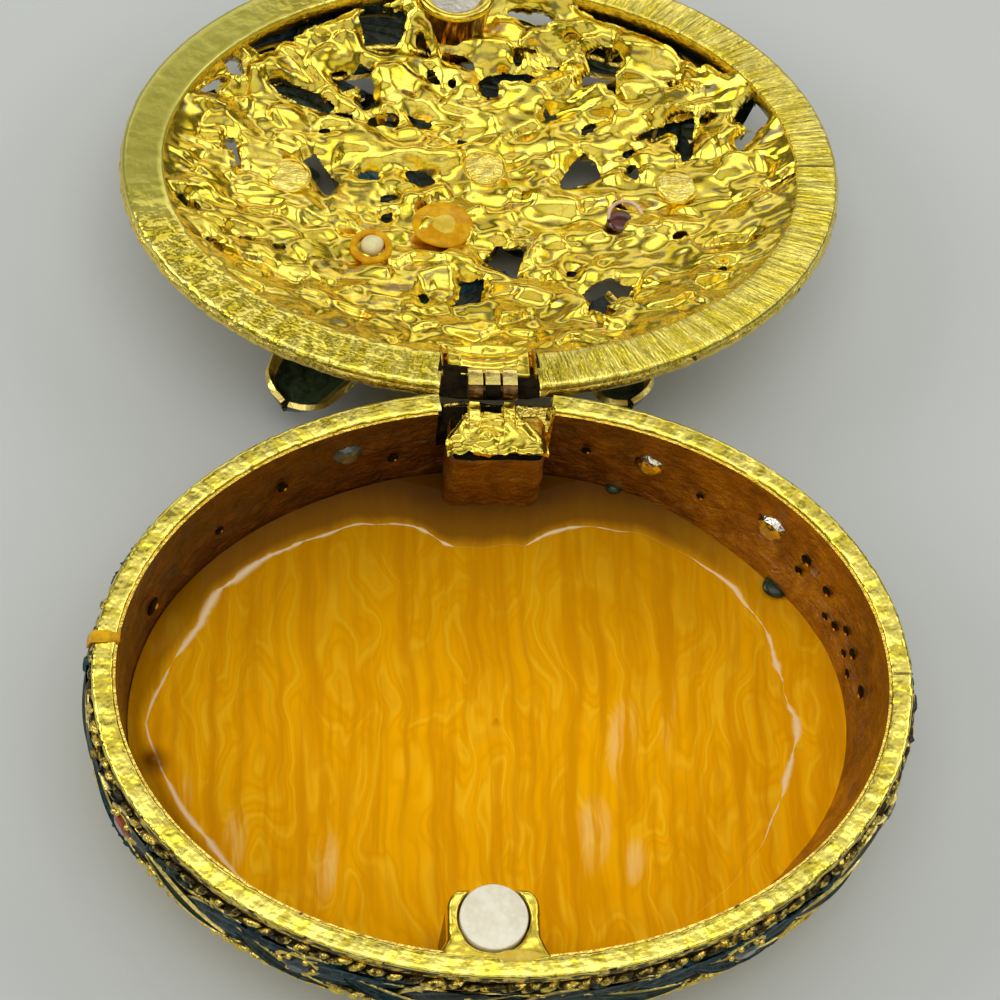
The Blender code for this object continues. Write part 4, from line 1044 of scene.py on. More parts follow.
def make_cap(finish):
    """Crumpled cap plate over the hinge block, with a torn front edge and two tabs behind."""
    cap = sheet("hinge_cap", 110, 76)
    xyz = points(cap)
    u, w = xyz[:, 0], (xyz[:, 1] + 1) / 2
    half = 4.25 - 1.75 * smooth_step(0.25, 1.0, w) ** 1.2
    x = 0.12 - 0.45 * w + u * half
    torn = 0.28 * rumple(floor_spots(x, 0 * x), 0.9, 4.0, 2)
    tab = smooth_step(0.10, 0.0, np.abs(np.abs(x + 0.35) - 1.45) - 0.42)
    y = 19.95 + torn * (1 - w) + w * (3.62 + 1.08 * tab)
    swirl = np.hypot(x + 0.9, (y - 21.4) * 1.15)
    z = 15.95 + 0.45 * facets(x, y, 1.5, 3.0, 14.0) + 0.16 * rumple(floor_spots(x, y), 0.8, 5.0)
    z += 0.22 * np.sin(swirl * 3.6) * np.exp(-(swirl / 1.8) ** 2) + 0.2 * np.exp(-((w - 0.80) / 0.10) ** 2)
    z -= 0.5 * smooth_step(0.80, 1.0, np.abs(u)) ** 2 + 0.2 * (1 - smooth_step(0.0, 0.10, w))
    shape(cap, np.stack([x, y, np.minimum(z, 16.7)], 1))
    thicken(cap, 0.32)
    return paint(tidy(cap, 70), finish)


def make_knuckle(name, x, finish, shade):
    """One link of the hinge: a flattened roll that reaches from the axis towards the lid."""
    bpy.ops.mesh.primitive_cylinder_add(vertices=56, radius=MM, depth=1.26 * MM,
                                        rotation=(0, math.pi / 2, 0))
    roll = fresh(name)
    bpy.ops.object.transform_apply(location=False, rotation=True, scale=True)
    round_edges(roll, 0.10, 3, 60)
    xyz = points(roll)
    angle = np.arctan2(xyz[:, 2], xyz[:, 1])
    square = 1 / (np.abs(np.cos(angle)) ** 3 + np.abs(np.sin(angle)) ** 3) ** (1 / 3)
    xyz[:, 1] = xyz[:, 1] * square * 1.36 + HINGE_Y + 0.55
    xyz[:, 2] = xyz[:, 2] * square * 0.80 + HINGE_Z - 0.02
    xyz[:, 0] += x
    tidy(shape(roll, xyz), 40)
    paint(roll, finish, shade)
    # Faces in front of the axis take the shade finish: painted shade on the knuckle's front.
    return paint_faces(roll, middles(roll)[:, 1] < HINGE_Y + 0.1, 1)


def make_pin(finish):
    bpy.ops.mesh.primitive_cylinder_add(vertices=24, radius=0.3 * MM, depth=4.0 * MM,
                                        rotation=(0, math.pi / 2, 0),
                                        location=(-0.25 * MM, HINGE_Y * MM, HINGE_Z * MM))
    pin = fresh("hinge_pin_wire")
    bpy.ops.object.transform_apply(location=True, rotation=True, scale=True)
    round_edges(pin, 0.08, 2, 60)
    return paint(tidy(pin, 40), finish)


def make_holder(gold, lacquer):
    """U-shaped clasp holder that opens towards the bowl and flares into the rim."""
    bpy.ops.mesh.primitive_cube_add(size=MM)
    holder = fresh("clasp_holder")
    holder.data.transform(Matrix.Translation((CLASP[0] * MM, -21.6 * MM, 10.6 * MM))
                          @ Matrix.Diagonal((7.3, 6.8, 11.4, 1)))
    round_edges(holder, 0.55, 4)
    bpy.ops.mesh.primitive_cylinder_add(vertices=96, radius=2.86 * MM, depth=4 * MM,
                                        location=(CLASP[0] * MM, CLASP[1] * MM, 16.7 * MM))
    cutter = fresh("pocket")
    modify(holder, "BOOLEAN", operation="DIFFERENCE", object=cutter, solver="EXACT")
    drop(cutter)
    round_edges(holder, 0.16, 2, 50)
    modify(holder, "REMESH", mode="VOXEL", voxel_size=0.12 * MM)
    xyz = points(holder)
    xyz[:, 2] += np.where(xyz[:, 2] > 15.5, 0.06 * rumple(xyz, 0.9, 6.0, 2), 0)
    tip = np.clip((xyz[:, 1] + 19.7) / 1.55, 0, 1)
    off = np.abs(xyz[:, 0] - CLASP[0])
    off = np.where(off > 2.3, 2.3 + (off - 2.3) * np.sqrt(1 - 0.97 * tip ** 2), off)
    xyz[:, 0] = CLASP[0] + np.sign(xyz[:, 0] - CLASP[0]) * off
    flare = smooth_step(-21.8, -24.2, xyz[:, 1]) * smooth_step(12.0, 16.2, xyz[:, 2])
    xyz[:, 0] += (xyz[:, 0] - CLASP[0]) * 0.28 * flare
    inside = oval_share(xyz, BOWL_LENGTH, BOWL_WIDTH)
    wall = 0.975 - 0.085 * smooth_step(7.2, 4.9, xyz[:, 2])
    keep = np.minimum(1.0, wall / inside)
    xyz[:, :2] *= keep[:, None]
    shape(holder, xyz)
    tidy(holder, 180)
    paint(holder, gold, lacquer)
    paint_faces(holder, middles(holder)[:, 2] < 14.6, 1)
    return holder


def make_drip(finish):
    """Resin that ran over the rim at the left and set."""
    drip = sheet("resin_drip", 30, 20)
    xyz = points(drip)
    out = -2.1 + (xyz[:, 0] + 1) * 1.25
    run = xyz[:, 1] * (0.33 + 0.12 * xyz[:, 0])
    x = -(BOWL_LENGTH + out) * np.cos((2.9 + run) / 31.0)
    y = 2.9 + run
    z = 16.44 - 1.1 * smooth_step(0.62, 1.0, xyz[:, 0]) + 0.16 * np.maximum(0, 1 - xyz[:, 1] ** 2)
    z -= 0.16 * smooth_step(-31.75, -31.3, x)
    shape(drip, np.stack([x, y, z], 1))
    thicken(drip, 0.25)
    return paint(tidy(drip, 80), finish)


def sheet(name, across, along):
    """Flat grid from -1 to 1 both ways, with a UV map from 0 to 1."""
    bpy.ops.mesh.primitive_grid_add(x_subdivisions=across, y_subdivisions=along, size=2 * MM)
    return fresh(name)


def leaf_blade(name, length, width, bend, fullness=0.75, lift=0.4):
    """A leaf lying flat, root at 0 and tip at its length, bulged between raised edges."""
    blade = sheet(name, 26, 14)
    xyz = points(blade)
    along, across = (xyz[:, 0] + 1) / 2, xyz[:, 1]
    half = width * np.sin(np.pi * along ** fullness) ** 0.75 + 0.03
    sweep = bend * np.sin(along * 2.2)
    rim = smooth_step(0.68, 0.86, np.abs(across)) * (1 - smooth_step(0.9, 1.0, np.abs(across)) * 0.5)
    z = lift * (1 - across ** 2) * np.sin(np.pi * along) ** 0.5 + 0.3 * rim
    z += 0.13 * np.cos(across * 12) * (np.abs(across) < 0.8) * np.sin(np.pi * along)
    return shape(blade, np.stack([along * length, sweep + across * half, z], 1))


def make_border(name, height, seed, finish):
    """Wavy raised wire along the frieze."""
    turns = [step * FULL_TURN / 8 for step in range(8)]
    rows = [(height + 0.22 * math.sin(turn), 0.3 + 0.22 * math.cos(turn)) for turn in turns]
    border = moulding(name, rows, 480, BOWL_LENGTH, BOWL_WIDTH)
    xyz = points(border)
    angle = oval_angle(xyz, BOWL_LENGTH, BOWL_WIDTH)
    xyz[:, 2] += 0.34 * np.sin(19 * angle + seed) + 0.16 * np.sin(47 * angle)
    return paint(tidy(shape(border, xyz), 60), finish)


def on_frieze(name, blade, run, height, turn, finish, out):
    """A copy of a flat blade laid on the bowl's wall and thickened."""
    leaf = copy_of(blade, Matrix.Identity(4), name)
    xyz = points(leaf)
    along, up = spun(xyz[:, 0], xyz[:, 1], math.radians(turn))
    bent = on_wall(run + along, np.clip(height + up, FRIEZE_LOW, FRIEZE_HIGH), out + xyz[:, 2])
    below_hinge = at_hinge(bent, NOTCH, 0, 0.5)
    bent[:, 2] = np.where(below_hinge, np.minimum(bent[:, 2], 12.3), bent[:, 2])
    shape(leaf, bent)
    thicken(leaf, 0.3)
    return paint(tidy(leaf, 60), finish)


def make_stone(name, spot, outward, radius, depth, finish, spin=0.0):
    """Cut stone: table, star and girdle facets above a pointed back."""
    rows = [(-depth, 0.05), (-0.12 * depth, radius), (0.02, radius), (0.34 * radius, 0.78 * radius),
            (0.5 * radius, 0.5 * radius), (0.5 * radius, 0.05)]
    stone = moulding(name, rows, 10, 0.0, 0.0, closed=False)
    close_ends(stone)
    xyz = points(stone)
    twist = np.where((xyz[:, 2] > 0.1) & (xyz[:, 2] < 0.42 * radius), math.pi / 10, 0.0) + spin
    xyz[:, 0], xyz[:, 1] = spun(xyz[:, 0], xyz[:, 1], twist)
    shape(stone, xyz)
    take(stone)
    edit()
    bpy.ops.mesh.remove_doubles(threshold=SAME_PLACE)
    bpy.ops.mesh.quads_convert_to_tris()
    bpy.ops.mesh.normals_make_consistent(inside=False)
    leave()
    stone.data.transform(stand(spot, outward))
    return paint(stone, finish)


def make_collet(name, spot, outward, radius, finish):
    """Beaded cup that holds a stone, with six small prongs."""
    bpy.ops.mesh.primitive_torus_add(major_segments=36, minor_segments=10, major_radius=(radius + 0.3) * MM,
                                     minor_radius=0.34 * MM)
    pieces = [fresh(name)]
    for index in range(6):
        prong = ball(name, 10, 6, 0.3)
        angle = FULL_TURN * index / 6
        prong.data.transform(Matrix.Translation(Vector((math.cos(angle), math.sin(angle), 0)) * radius * MM
                                                + Vector((0, 0, 0.32)) * MM))
        pieces.append(prong)
    cup = join(name, pieces)
    cup.data.transform(stand(spot, outward))
    return paint(soften(cup, 60), finish)


def on_inner_wall(x, y, z):
    """The nearest place on the bowl's inner wall, and which way the wall faces there."""
    angle = math.atan2(y / BOWL_WIDTH, x / BOWL_LENGTH)
    inset = 2.42 + float(wall_lean(angle, z))
    spot = Vector(((BOWL_LENGTH - inset) * math.cos(angle), (BOWL_WIDTH - inset) * math.sin(angle), z))
    facing = -Vector((math.cos(angle) / BOWL_LENGTH, math.sin(angle) / BOWL_WIDTH, 0)).normalized()
    return spot, facing


def make_pit(name, x, y, z, size, dark, bright):
    """A casting pit in the wall: a hollow shown as a near-black bead of painted shade, with a bright burr at
    its edge.
    """
    spot, facing = on_inner_wall(x, y, z)
    hollow, burr = ((0.0, 0.0, 0), (0.62, 0.8, 0.14)), ((0.25, -0.35, 0), (0.26, 0.42, 0.22))
    pieces = []
    # The hollow is a near-black bead of painted shade; the burr is gold.
    for (place, stretch), finish in ((hollow, dark), (burr, bright)):
        bead = ball(name, 16, 8)
        bead.data.transform(stand(spot, facing) @ Matrix.Translation(Vector(place) * size * MM)
                            @ Matrix.Diagonal((*(Vector(stretch) * size), 1.0)))
        pieces.append(paint(soften(bead, 180), finish))
    return join(name, pieces)


# ------------------------------------------------------------------ lid

def outline_gap(corners, x, v):
    """How far each place lies outside a many-sided opening; negative inside it."""
    nearest = np.full(len(x), 1e9)
    inside = np.zeros(len(x), bool)
    corners = np.array(corners, float)
    for start, end in zip(corners, np.roll(corners, -1, 0)):
        edge = end - start
        px, pv = x - start[0], v - start[1]
        share = np.clip((px * edge[0] + pv * edge[1]) / (edge @ edge), 0, 1)
        nearest = np.minimum(nearest, np.hypot(px - share * edge[0], pv - share * edge[1]))
        between = (start[1] > v) != (end[1] > v)
        inside ^= between & (px < edge[0] * pv / (edge[1] or 1e-9))
    return np.where(inside, -nearest, nearest)


def metal_left(x, v):
    """Distance to the nearest opening of the lid, wandering a little like torn foil."""
    spots = floor_spots(x, v)
    wide = x + 0.22 * rumple(spots, 1.1, 31.0) + 0.07 * rumple(spots, 0.4, 5.0)
    tall = v + 0.22 * rumple(spots, 1.1, 47.0) + 0.07 * rumple(spots, 0.4, 8.0)
    nearest = np.full(len(x), 1e9)
    for corners in WINDOWS:
        nearest = np.minimum(nearest, outline_gap(corners, wide, tall))
    for cx, cv, long, short, turn in OPENINGS:
        px, pv = spun(wide - cx, tall - cv, -math.radians(turn))
        reach = np.hypot(px / long, pv / short)
        nearest = np.minimum(nearest, (reach - 1) * min(long, short))
    return nearest


def calm_spots(x, v):
    """1 where the inside of the lid was left smooth, 0 where it is crumpled."""
    calm = np.zeros(len(x))
    for cx, cv, long, short in SMOOTH_SPOTS:
        calm = np.maximum(calm, np.exp(-(((x - cx) / long) ** 2 + ((v - cv) / short) ** 2) ** 1.5))
    return calm


def make_openwork(inside, outside):
    """Crumpled openwork dome of the lid, pierced and then thickened."""
    dome = disc_grid("lid_openwork", 250, 180)
    xyz = points(dome)
    radius = np.hypot(xyz[:, 0], xyz[:, 1])
    spread = 1 + 0.45 * (1 - radius)
    x = xyz[:, 0] * spread * (DISH_LENGTH + 0.02)
    v = xyz[:, 1] * spread * (DISH_WIDTH + 0.02)
    h = dish_height(x, v)
    edge = smooth_step(0.0, 0.10, 1 - np.hypot(x / DISH_LENGTH, v / DISH_WIDTH))
    rough = (0.25 + 0.75 * edge) * (1 - 0.85 * calm_spots(x, v))
    wave = floor_spots(x / 1.7, v)
    crush = 1.0 * rumple(wave, 2.8, 2.0) + 0.26 * rumple(wave, 1.3, 6.0)
    crush += 0.9 * facets(x * 0.7, v, 2.2, 5.0, 20.0) + 0.22 * facets(x * 0.7, v, 1.0, 8.0, 20.0)
    streaks = (x < -16) * smooth_step(-8.0, -5.0, v) * smooth_step(9.0, 5.0, v)
    crush += 0.10 * np.sin(v * 5.2 + 1.3 * rumple(floor_spots(x, v), 3.0, 9.0)) * streaks
    h = h + crush * rough
    shape(dome, np.stack([x, v, h], 1))
    cut_faces(dome, metal_left(x, v)[corners_of(dome)].mean(1) < 0)
    take(dome)
    edit("VERT", "DESELECT")
    bpy.ops.mesh.delete_loose()
    leave()
    xyz = points(dome)
    x, v, h = xyz.T
    left = metal_left(x, v)
    near = np.abs(left) < 0.45
    step = 0.05
    grad_x = (metal_left(x[near] + step, v[near]) - left[near]) / step
    grad_v = (metal_left(x[near], v[near] + step) - left[near]) / step
    slope = np.maximum(grad_x ** 2 + grad_v ** 2, 0.2)
    pull = np.where(left[near] < 0.12, left[near], 0.0)
    pull = np.clip(pull, -0.3, 0.12)
    xyz[near, 0] -= pull * grad_x / slope
    xyz[near, 1] -= pull * grad_v / slope
    left = np.maximum(left, 0)
    xyz[:, 2] += 0.55 * np.exp(-(left / 0.45) ** 2)
    shape(dome, xyz)
    count = len(xyz)
    thicken(dome, 0.95, 1.0)
    xyz = points(dome)
    inner = np.arange(len(xyz)) >= count
    if xyz[:count, 2].mean() < xyz[count:, 2].mean():
        inner = ~inner
    full = dome_height(xyz[:, 0], xyz[:, 1])
    xyz[:, 2] = np.where(inner, xyz[:, 2], np.maximum(xyz[:, 2], 0.5 * xyz[:, 2] + 0.5 * full))
    shape(dome, xyz)
    corners = np.array([list(face.vertices) for face in dome.data.polygons])
    outer_faces = ~inner[corners].any(1)
    paint(dome, inside, outside)
    paint_faces(dome, outer_faces, 1)
    tidy(dome, 70)
    return lay_open(dome)


def make_lid_rim(flat, edge, dark_shade):
    """Broad flat rim of the lid with its rounded edge band and the foot of the dome; the notch for the hinge
    is painted dark as painted shade.
    """
    rows = [(1.0, -3.66), (0.45, -3.62), (0.12, -3.55), (0.0, -3.35), (0.0, -2.9), (0.0, -2.4), (0.0, -1.9),
            (0.0, -1.4), (0.0, -0.9), (0.0, -0.45), (0.06, -0.2), (0.22, 0.0), (0.5, 0.1), (0.62, 0.0),
            (0.75, 0.12), (0.95, 0.25), (1.2, 0.3), (1.45, 0.2), (1.6, 0.0), (1.8, -0.1), (2.5, -0.6),
            (2.9, -1.7), (2.7, -2.8), (1.9, -3.5)]
    rim = moulding("lid_rim", rows, 560, LID_LENGTH, LID_WIDTH)
    mid = middles(rim)
    cut_faces(rim, at_hinge(mid, TONGUE, 15) & (mid[:, 2] < 1.25))
    close_ends(rim)
    xyz = points(rim)
    share = oval_share(xyz, LID_LENGTH, LID_WIDTH)
    flat_part = smooth_step(0.3, 0.05, xyz[:, 2])
    beaten = facets(xyz[:, 0], xyz[:, 1], 0.9, 6.0)
    polished_with_painted_shade = smooth_step(-10.0, -24.0, xyz[:, 0]) * smooth_step(9.0, -2.0, xyz[:, 1])
    xyz[:, 2] += np.maximum(0.18 * beaten * flat_part * (1 - 0.85 * polished_with_painted_shade), -0.12)
    lumps = rumple(xyz, 1.3, 4.0, 2) * 0.12 * smooth_step(0.55, 0.8, xyz[:, 2]) * (share > 0.96)
    xyz[:, :2] *= (1 + lumps / 28)[:, None]
    shape(rim, xyz)
    tidy(rim, 55)
    lay_wrap(rim, LID_LENGTH, LID_WIDTH)
    paint(rim, flat, edge, dark_shade)
    mid = middles(rim)
    paint_faces(rim, mid[:, 2] > 0.62, 1)
    # The notch for the tongue: painted shade.
    paint_faces(rim, at_hinge(mid, TONGUE, 15, 0.1), 2)
    return lay_open(rim)


def turned(name, rows, sides, x, y):
    """A round piece drawn out row by row as height and radius, about (x, y)."""
    piece = moulding(name, rows, sides, 0.0, 0.0, closed=False)
    close_ends(piece)
    piece.data.transform(Matrix.Translation((x * MM, y * MM, 0)))
    return tidy(piece, 40)


def make_post(finish, side_shade_finish):
    """Magnet post with its rolled lip, bore and flared foot."""
    rows = [(0.9, 0.05), (0.9, 2.86), (0.3, 2.88), (-0.1, 2.92), (-0.26, 3.02), (-0.3, 3.2), (-0.3, 3.4),
            (-0.2, 3.58), (0.0, 3.66), (0.25, 3.66), (0.42, 3.58), (0.5, 3.42), (0.9, 3.36), (2.0, 3.34),
            (3.2, 3.3), (4.0, 3.36), (4.6, 3.6), (5.0, 3.9), (5.6, 4.0), (5.8, 0.05)]
    post = turned("magnet_post", rows, 120, *POST)
    xyz = points(post)
    angle = np.arctan2(xyz[:, 1] - POST[1], xyz[:, 0] - POST[0])
    flute = 0.07 * np.sin(13 * angle + np.sin(5 * angle)) * smooth_step(0.5, 1.4, xyz[:, 2])
    radial = xyz[:, :2] - POST
    xyz[:, :2] += radial * (flute / 3.4)[:, None]
    shape(post, xyz)
    paint(post, finish, side_shade_finish)
    mid = middles(post)
    # The side of the post that faces the hinge takes the shade finish: painted shade.
    wall = (mid[:, 2] > 0.5) & (np.hypot(mid[:, 0] - POST[0], mid[:, 1] - POST[1]) > 3.0)
    paint_faces(post, wall & (mid[:, 1] > POST[1] - 1.2), 1)
    return lay_open(post)


def make_disc(name, x, y, low, top, radius, finish, bevel=0.2, sides=72):
    rows = [(low, 0.05), (low, radius - bevel), (low + bevel, radius), (top - bevel, radius),
            (top - bevel * 0.3, radius - bevel * 0.3), (top, radius - bevel), (top, 0.05)]
    return paint(turned(name, rows, sides, x, y), finish)


def make_rivet(name, x, v, top, radius, finish, seed):
    """Filed end of a blossom's stem, slightly out of round."""
    disc = disc_grid(name, 40, 40)
    xyz = points(disc)
    angle = np.arctan2(xyz[:, 1], xyz[:, 0])
    share = np.hypot(xyz[:, 0], xyz[:, 1])
    grow = radius * (1 + 0.05 * np.sin(3 * angle + seed) + 0.04 * np.sin(7 * angle + 2 * seed))
    px, pv = xyz[:, 0] * grow, xyz[:, 1] * grow
    marks = facets(px + seed, pv, 1.0, seed) * 0.45
    h = top + 0.35 * share ** 8 + marks * (1 - share ** 6)
    shape(disc, np.stack([px + x, pv + v, h], 1))
    thicken(disc, 0.9, 1.0)
    return paint(lay_open(tidy(disc, 60)), finish)


def make_drop(name, x, v, top, wide, deep, finish, narrow=0.93, seed=0.0, laid=True):
    """A drop of glue: a flattened, slightly lopsided ball."""
    blob = ball(name, 48, 24)
    xyz = points(blob)
    lump = 1 + 0.07 * rumple(xyz, 0.9, seed)
    shape(blob, xyz * lump[:, None] * (wide, wide * narrow, deep) + (x, v, top))
    soften(blob, 180)
    return paint(lay_open(blob) if laid else blob, finish)


def make_ring(name, x, v, h, radius, thick, finish, tilt=0.0):
    bpy.ops.mesh.primitive_torus_add(major_segments=56, minor_segments=14, major_radius=radius * MM,
                                     minor_radius=thick * MM)
    ring = fresh(name)
    ring.data.transform(Matrix.Translation(Vector((x, v, h)) * MM) @ Matrix.Rotation(tilt, 4, "X"))
    soften(ring, 180)
    return paint(lay_open(ring), finish)


def make_tongue(finish, side_shade):
    """Lid side of the hinge: a sunk plate with arched bands between raised side edges."""
    plate = sheet("hinge_tongue", 100, 70)
    xyz = points(plate)
    u, w = xyz[:, 0], (xyz[:, 1] + 1) / 2
    x = (TONGUE[0] + TONGUE[1]) / 2 + (TONGUE[1] - TONGUE[0]) / 2 * 0.985 * u
    v = 19.2 + w * 4.0
    arch = 0.36 - 0.26 * u * u
    hollow = np.exp(-((w - arch + 0.02) / 0.12) ** 2)
    second = np.exp(-((w - arch - 0.30) / 0.07) ** 2) * (np.abs(u) < 0.6)
    third = np.exp(-((w - arch - 0.52) / 0.05) ** 2) * (np.abs(u) < 0.45)
    h = 0.25 + 0.40 * hollow - 0.28 * second - 0.2 * third + 0.30 * facets(x, v, 0.9, 7.0)
    h += 0.6 * smooth_step(0.84, 0.90, np.abs(u)) - 0.85 * smooth_step(0.93, 0.97, np.abs(u))
    h += 0.5 * smooth_step(0.90, 1.0, w) + 1.3 * smooth_step(0.16, 0.0, w)
    shape(plate, np.stack([x, v, h], 1))
    thicken(plate, 1.6, 1.0)
    tidy(plate, 70)
    paint(plate, finish, side_shade)
    # The raised side edges take the orange gold: painted shade for the shaded walls of the notch.
    off = np.abs(middles(plate)[:, 0] - (TONGUE[0] + TONGUE[1]) / 2) / (TONGUE[1] - TONGUE[0]) * 2
    return lay_open(paint_faces(plate, off > 0.9, 1))


def on_dome(flat, x, v, turn, lift):
    """Lay flat work, as along, across and rise, on the outside of the dome."""
    along, across = spun(flat[:, 0], flat[:, 1], math.radians(turn))
    x, v = x + along, v + across
    return np.stack([x, v, dome_height(x, v) + lift + flat[:, 2]], 1)


def dome_leaf(name, blade, x, v, turn, size, finish, lift=0.25):
    leaf = copy_of(blade, Matrix.Identity(4), name)
    shape(leaf, on_dome(points(leaf) * size, x, v, turn, lift))
    thicken(leaf, 0.45)
    return lay_open(paint(tidy(leaf, 60), finish))


def make_vine(name, path, thick, finish):
    """Stem that winds over the dome through listed places."""
    spots = np.array(path, float)
    share = np.linspace(0, len(spots) - 1, 60)
    x = np.interp(share, range(len(spots)), spots[:, 0])
    v = np.interp(share, range(len(spots)), spots[:, 1])
    for _ in range(30):
        x[1:-1] = (x[:-2] + x[1:-1] + x[2:]) / 3
        v[1:-1] = (v[:-2] + v[1:-1] + v[2:]) / 3
    vine = moulding(name, [(step, 0.0) for step in range(60)], 12, 1.0, 1.0, closed=False)
    xyz = points(vine)
    ring = np.rint(xyz[:, 2]).astype(int).clip(0, 59)
    along = np.gradient(np.stack([x, v], 1), axis=0)
    along /= np.linalg.norm(along, axis=1)[:, None]
    width = thick * (1 - 0.6 * np.abs(ring / 29.5 - 1) ** 3)
    side, rise = xyz[:, 0] * width, xyz[:, 1] * width
    px = x[ring] - along[ring, 1] * side
    pv = v[ring] + along[ring, 0] * side
    shape(vine, np.stack([px, pv, dome_height(x[ring], v[ring]) + 0.15 + rise], 1))
    close_ends(vine)
    return lay_open(paint(tidy(vine, 60), finish))


def table_height(v):
    """Height over the lid's flat rim at which the table lies once the lid is open."""
    return 12.22 + 0.1263 * v


def make_blossom(name, x, v, petals, reach, notch, finish, under):
    """Blossom riveted to the dome: ribbed petals with gold edges that cup out to the table."""
    petal = sheet(name + "_petal", 26, 20)
    xyz = points(petal)
    along, across = (xyz[:, 0] + 1) / 2, xyz[:, 1]
    swell = np.sin(np.pi * np.clip(0.10 + 0.84 * along, 0, 1) ** 1.3) ** 0.75
    half = reach * math.tan(math.pi / petals) * 0.62 * swell + 0.1
    edge = smooth_step(0.74, 0.9, np.maximum(np.abs(across), along))
    belly = np.sin(np.pi * along)
    z = 0.3 * edge + 0.10 * np.cos(across * 9) * belly - 0.5 * (1 - across ** 2) * belly
    shape(petal, np.stack([1.2 + along * (reach - 1.2), across * half, z], 1))
    pieces = []
    gap = 75 if petals == 5 else 0
    for index in range(petals):
        spin = Matrix.Rotation(math.radians(notch + gap / 2 + (360 - gap) * (index + 0.5) / petals), 4, "Z")
        pieces.append(copy_of(petal, spin, name + "_petal_" + str(index + 1)))
    drop(petal)
    blossom = join(name, pieces)
    xyz = points(blossom)
    out = np.clip((np.hypot(xyz[:, 0], xyz[:, 1]) - 1.8) / (reach - 1.8), 0, 1)
    px, pv = xyz[:, 0] + x, xyz[:, 1] + v
    foot = dome_height(x, v) + 1.3
    lift = out ** 1.5 * (table_height(pv) - 0.9 - foot)
    shape(blossom, np.stack([px, pv, np.minimum(foot + lift + xyz[:, 2], table_height(pv) - 0.45)], 1))
    thicken(blossom, 0.4, 1.0)
    take(blossom)
    edit()
    bpy.ops.mesh.normals_make_consistent(inside=False)
    leave()
    paint(soften(blossom, 50), finish, under)
    return lay_open(paint_faces(blossom, facing_of(blossom)[:, 2] < 0.15, 1))


def make_hollow_leaf(name, root, tip, half_width, tip_height, front, back):
    """A curved leaf, veined and enamelled outside, hollow and dark behind a rolled gold lip."""
    leaf = sheet(name, 40, 26)
    xyz = points(leaf)
    along, across = (xyz[:, 0] + 1) / 2, xyz[:, 1]
    root, tip = np.array(root), np.array(tip)
    ahead = (tip - root) / np.linalg.norm(tip - root)
    side = np.array([ahead[1], -ahead[0]])
    belly = np.sin(np.pi * (0.12 + 0.76 * along))
    round_tip = np.sqrt(np.clip(1 - ((along - 0.86) / 0.14) ** 2 * (along > 0.86), 0.02, 1))
    spread = half_width * (0.35 + 0.65 * belly) * round_tip
    place = root + np.outer(along, tip - root) + np.outer(across * spread, side)
    arch = 1.3 * (1 - across ** 2) * np.sin(np.pi * (0.15 + 0.7 * along))
    vein = 0.12 * np.abs(np.sin(11 * along + 5 * np.abs(across))) * (1 - np.abs(across))
    lip = 0.35 * smooth_step(0.8, 0.95, np.abs(across))
    foot = dome_height(*root) + 0.6
    h = np.maximum(foot + (tip_height - foot) * along + arch + vein, dome_height(*place.T) + 0.45) - lip
    h = np.minimum(h, table_height(place[:, 1]) - 0.6)
    shape(leaf, np.column_stack([place, h]))
    thicken(leaf, 0.5, 1.0)
    tidy(leaf, 60)
    paint(leaf, front, back)
    paint_faces(leaf, facing_of(leaf)[:, 2] < 0.1, 1)
    return lay_open(leaf)


# ------------------------------------------------------------------ camera, light and table

CAMERA_SPOT = Vector((-23.66, -100.79, 252.12)) * MM
CAMERA_YAW = 0.201
CAMERA_PITCH = 1.105
CAMERA_ROLL = 0.187
CAMERA_LENS = 115.6


def set_camera():
    ahead = Vector((math.sin(CAMERA_YAW) * math.cos(CAMERA_PITCH),
                    math.cos(CAMERA_YAW) * math.cos(CAMERA_PITCH), -math.sin(CAMERA_PITCH)))
    right = Vector((math.cos(CAMERA_YAW), -math.sin(CAMERA_YAW), 0))
    up = right.cross(ahead)
    side = math.cos(CAMERA_ROLL) * right + math.sin(CAMERA_ROLL) * up
    top = math.cos(CAMERA_ROLL) * up - math.sin(CAMERA_ROLL) * right
    data = bpy.data.cameras.new("camera")
    data.lens = CAMERA_LENS
    data.sensor_width = 36.0
    data.clip_start = 0.01
    camera = bpy.data.objects.new("camera", data)
    bpy.context.scene.collection.objects.link(camera)
    camera.matrix_world = Matrix.Translation(CAMERA_SPOT) @ Matrix((side, top, -ahead)).transposed().to_4x4()
    bpy.context.scene.camera = camera


# Soft boxes: place, length and width in metres, and power.
SOFT_BOXES = (
    ("overhead", (0.0, -0.05, 0.80), (0.80, 0.48), 2.45),
    ("back_window", (0.0, 0.90, 0.42), (1.5, 0.40), 1.95),
    ("left_window", (-0.70, 0.10, 0.50), (0.50, 0.40), 2.0),
    ("right_window", (0.70, 0.10, 0.50), (0.50, 0.40), 1.25),
    ("dim_ceiling", (0.0, 0.36, 0.77), (1.5, 0.30), 0.9),
    ("dim_back", (0.52, 0.64, 0.60), (1.0, 0.36), 0.65),
    ("front_fill", (0.0, -0.62, 0.60), (1.5, 0.45), 1.75),
)
LIT_SPOT = Vector((0, 0.02, 0))


def soft_box(name, spot, size, power):
    data = bpy.data.lights.new(name, "AREA")
    data.shape = "RECTANGLE"
    data.size, data.size_y = size
    data.energy = power
    lamp = bpy.data.objects.new(name, data)
    bpy.context.scene.collection.objects.link(lamp)
    lamp.location = spot
    lamp.rotation_euler = (LIT_SPOT - Vector(spot)).to_track_quat("-Z", "Y").to_euler()


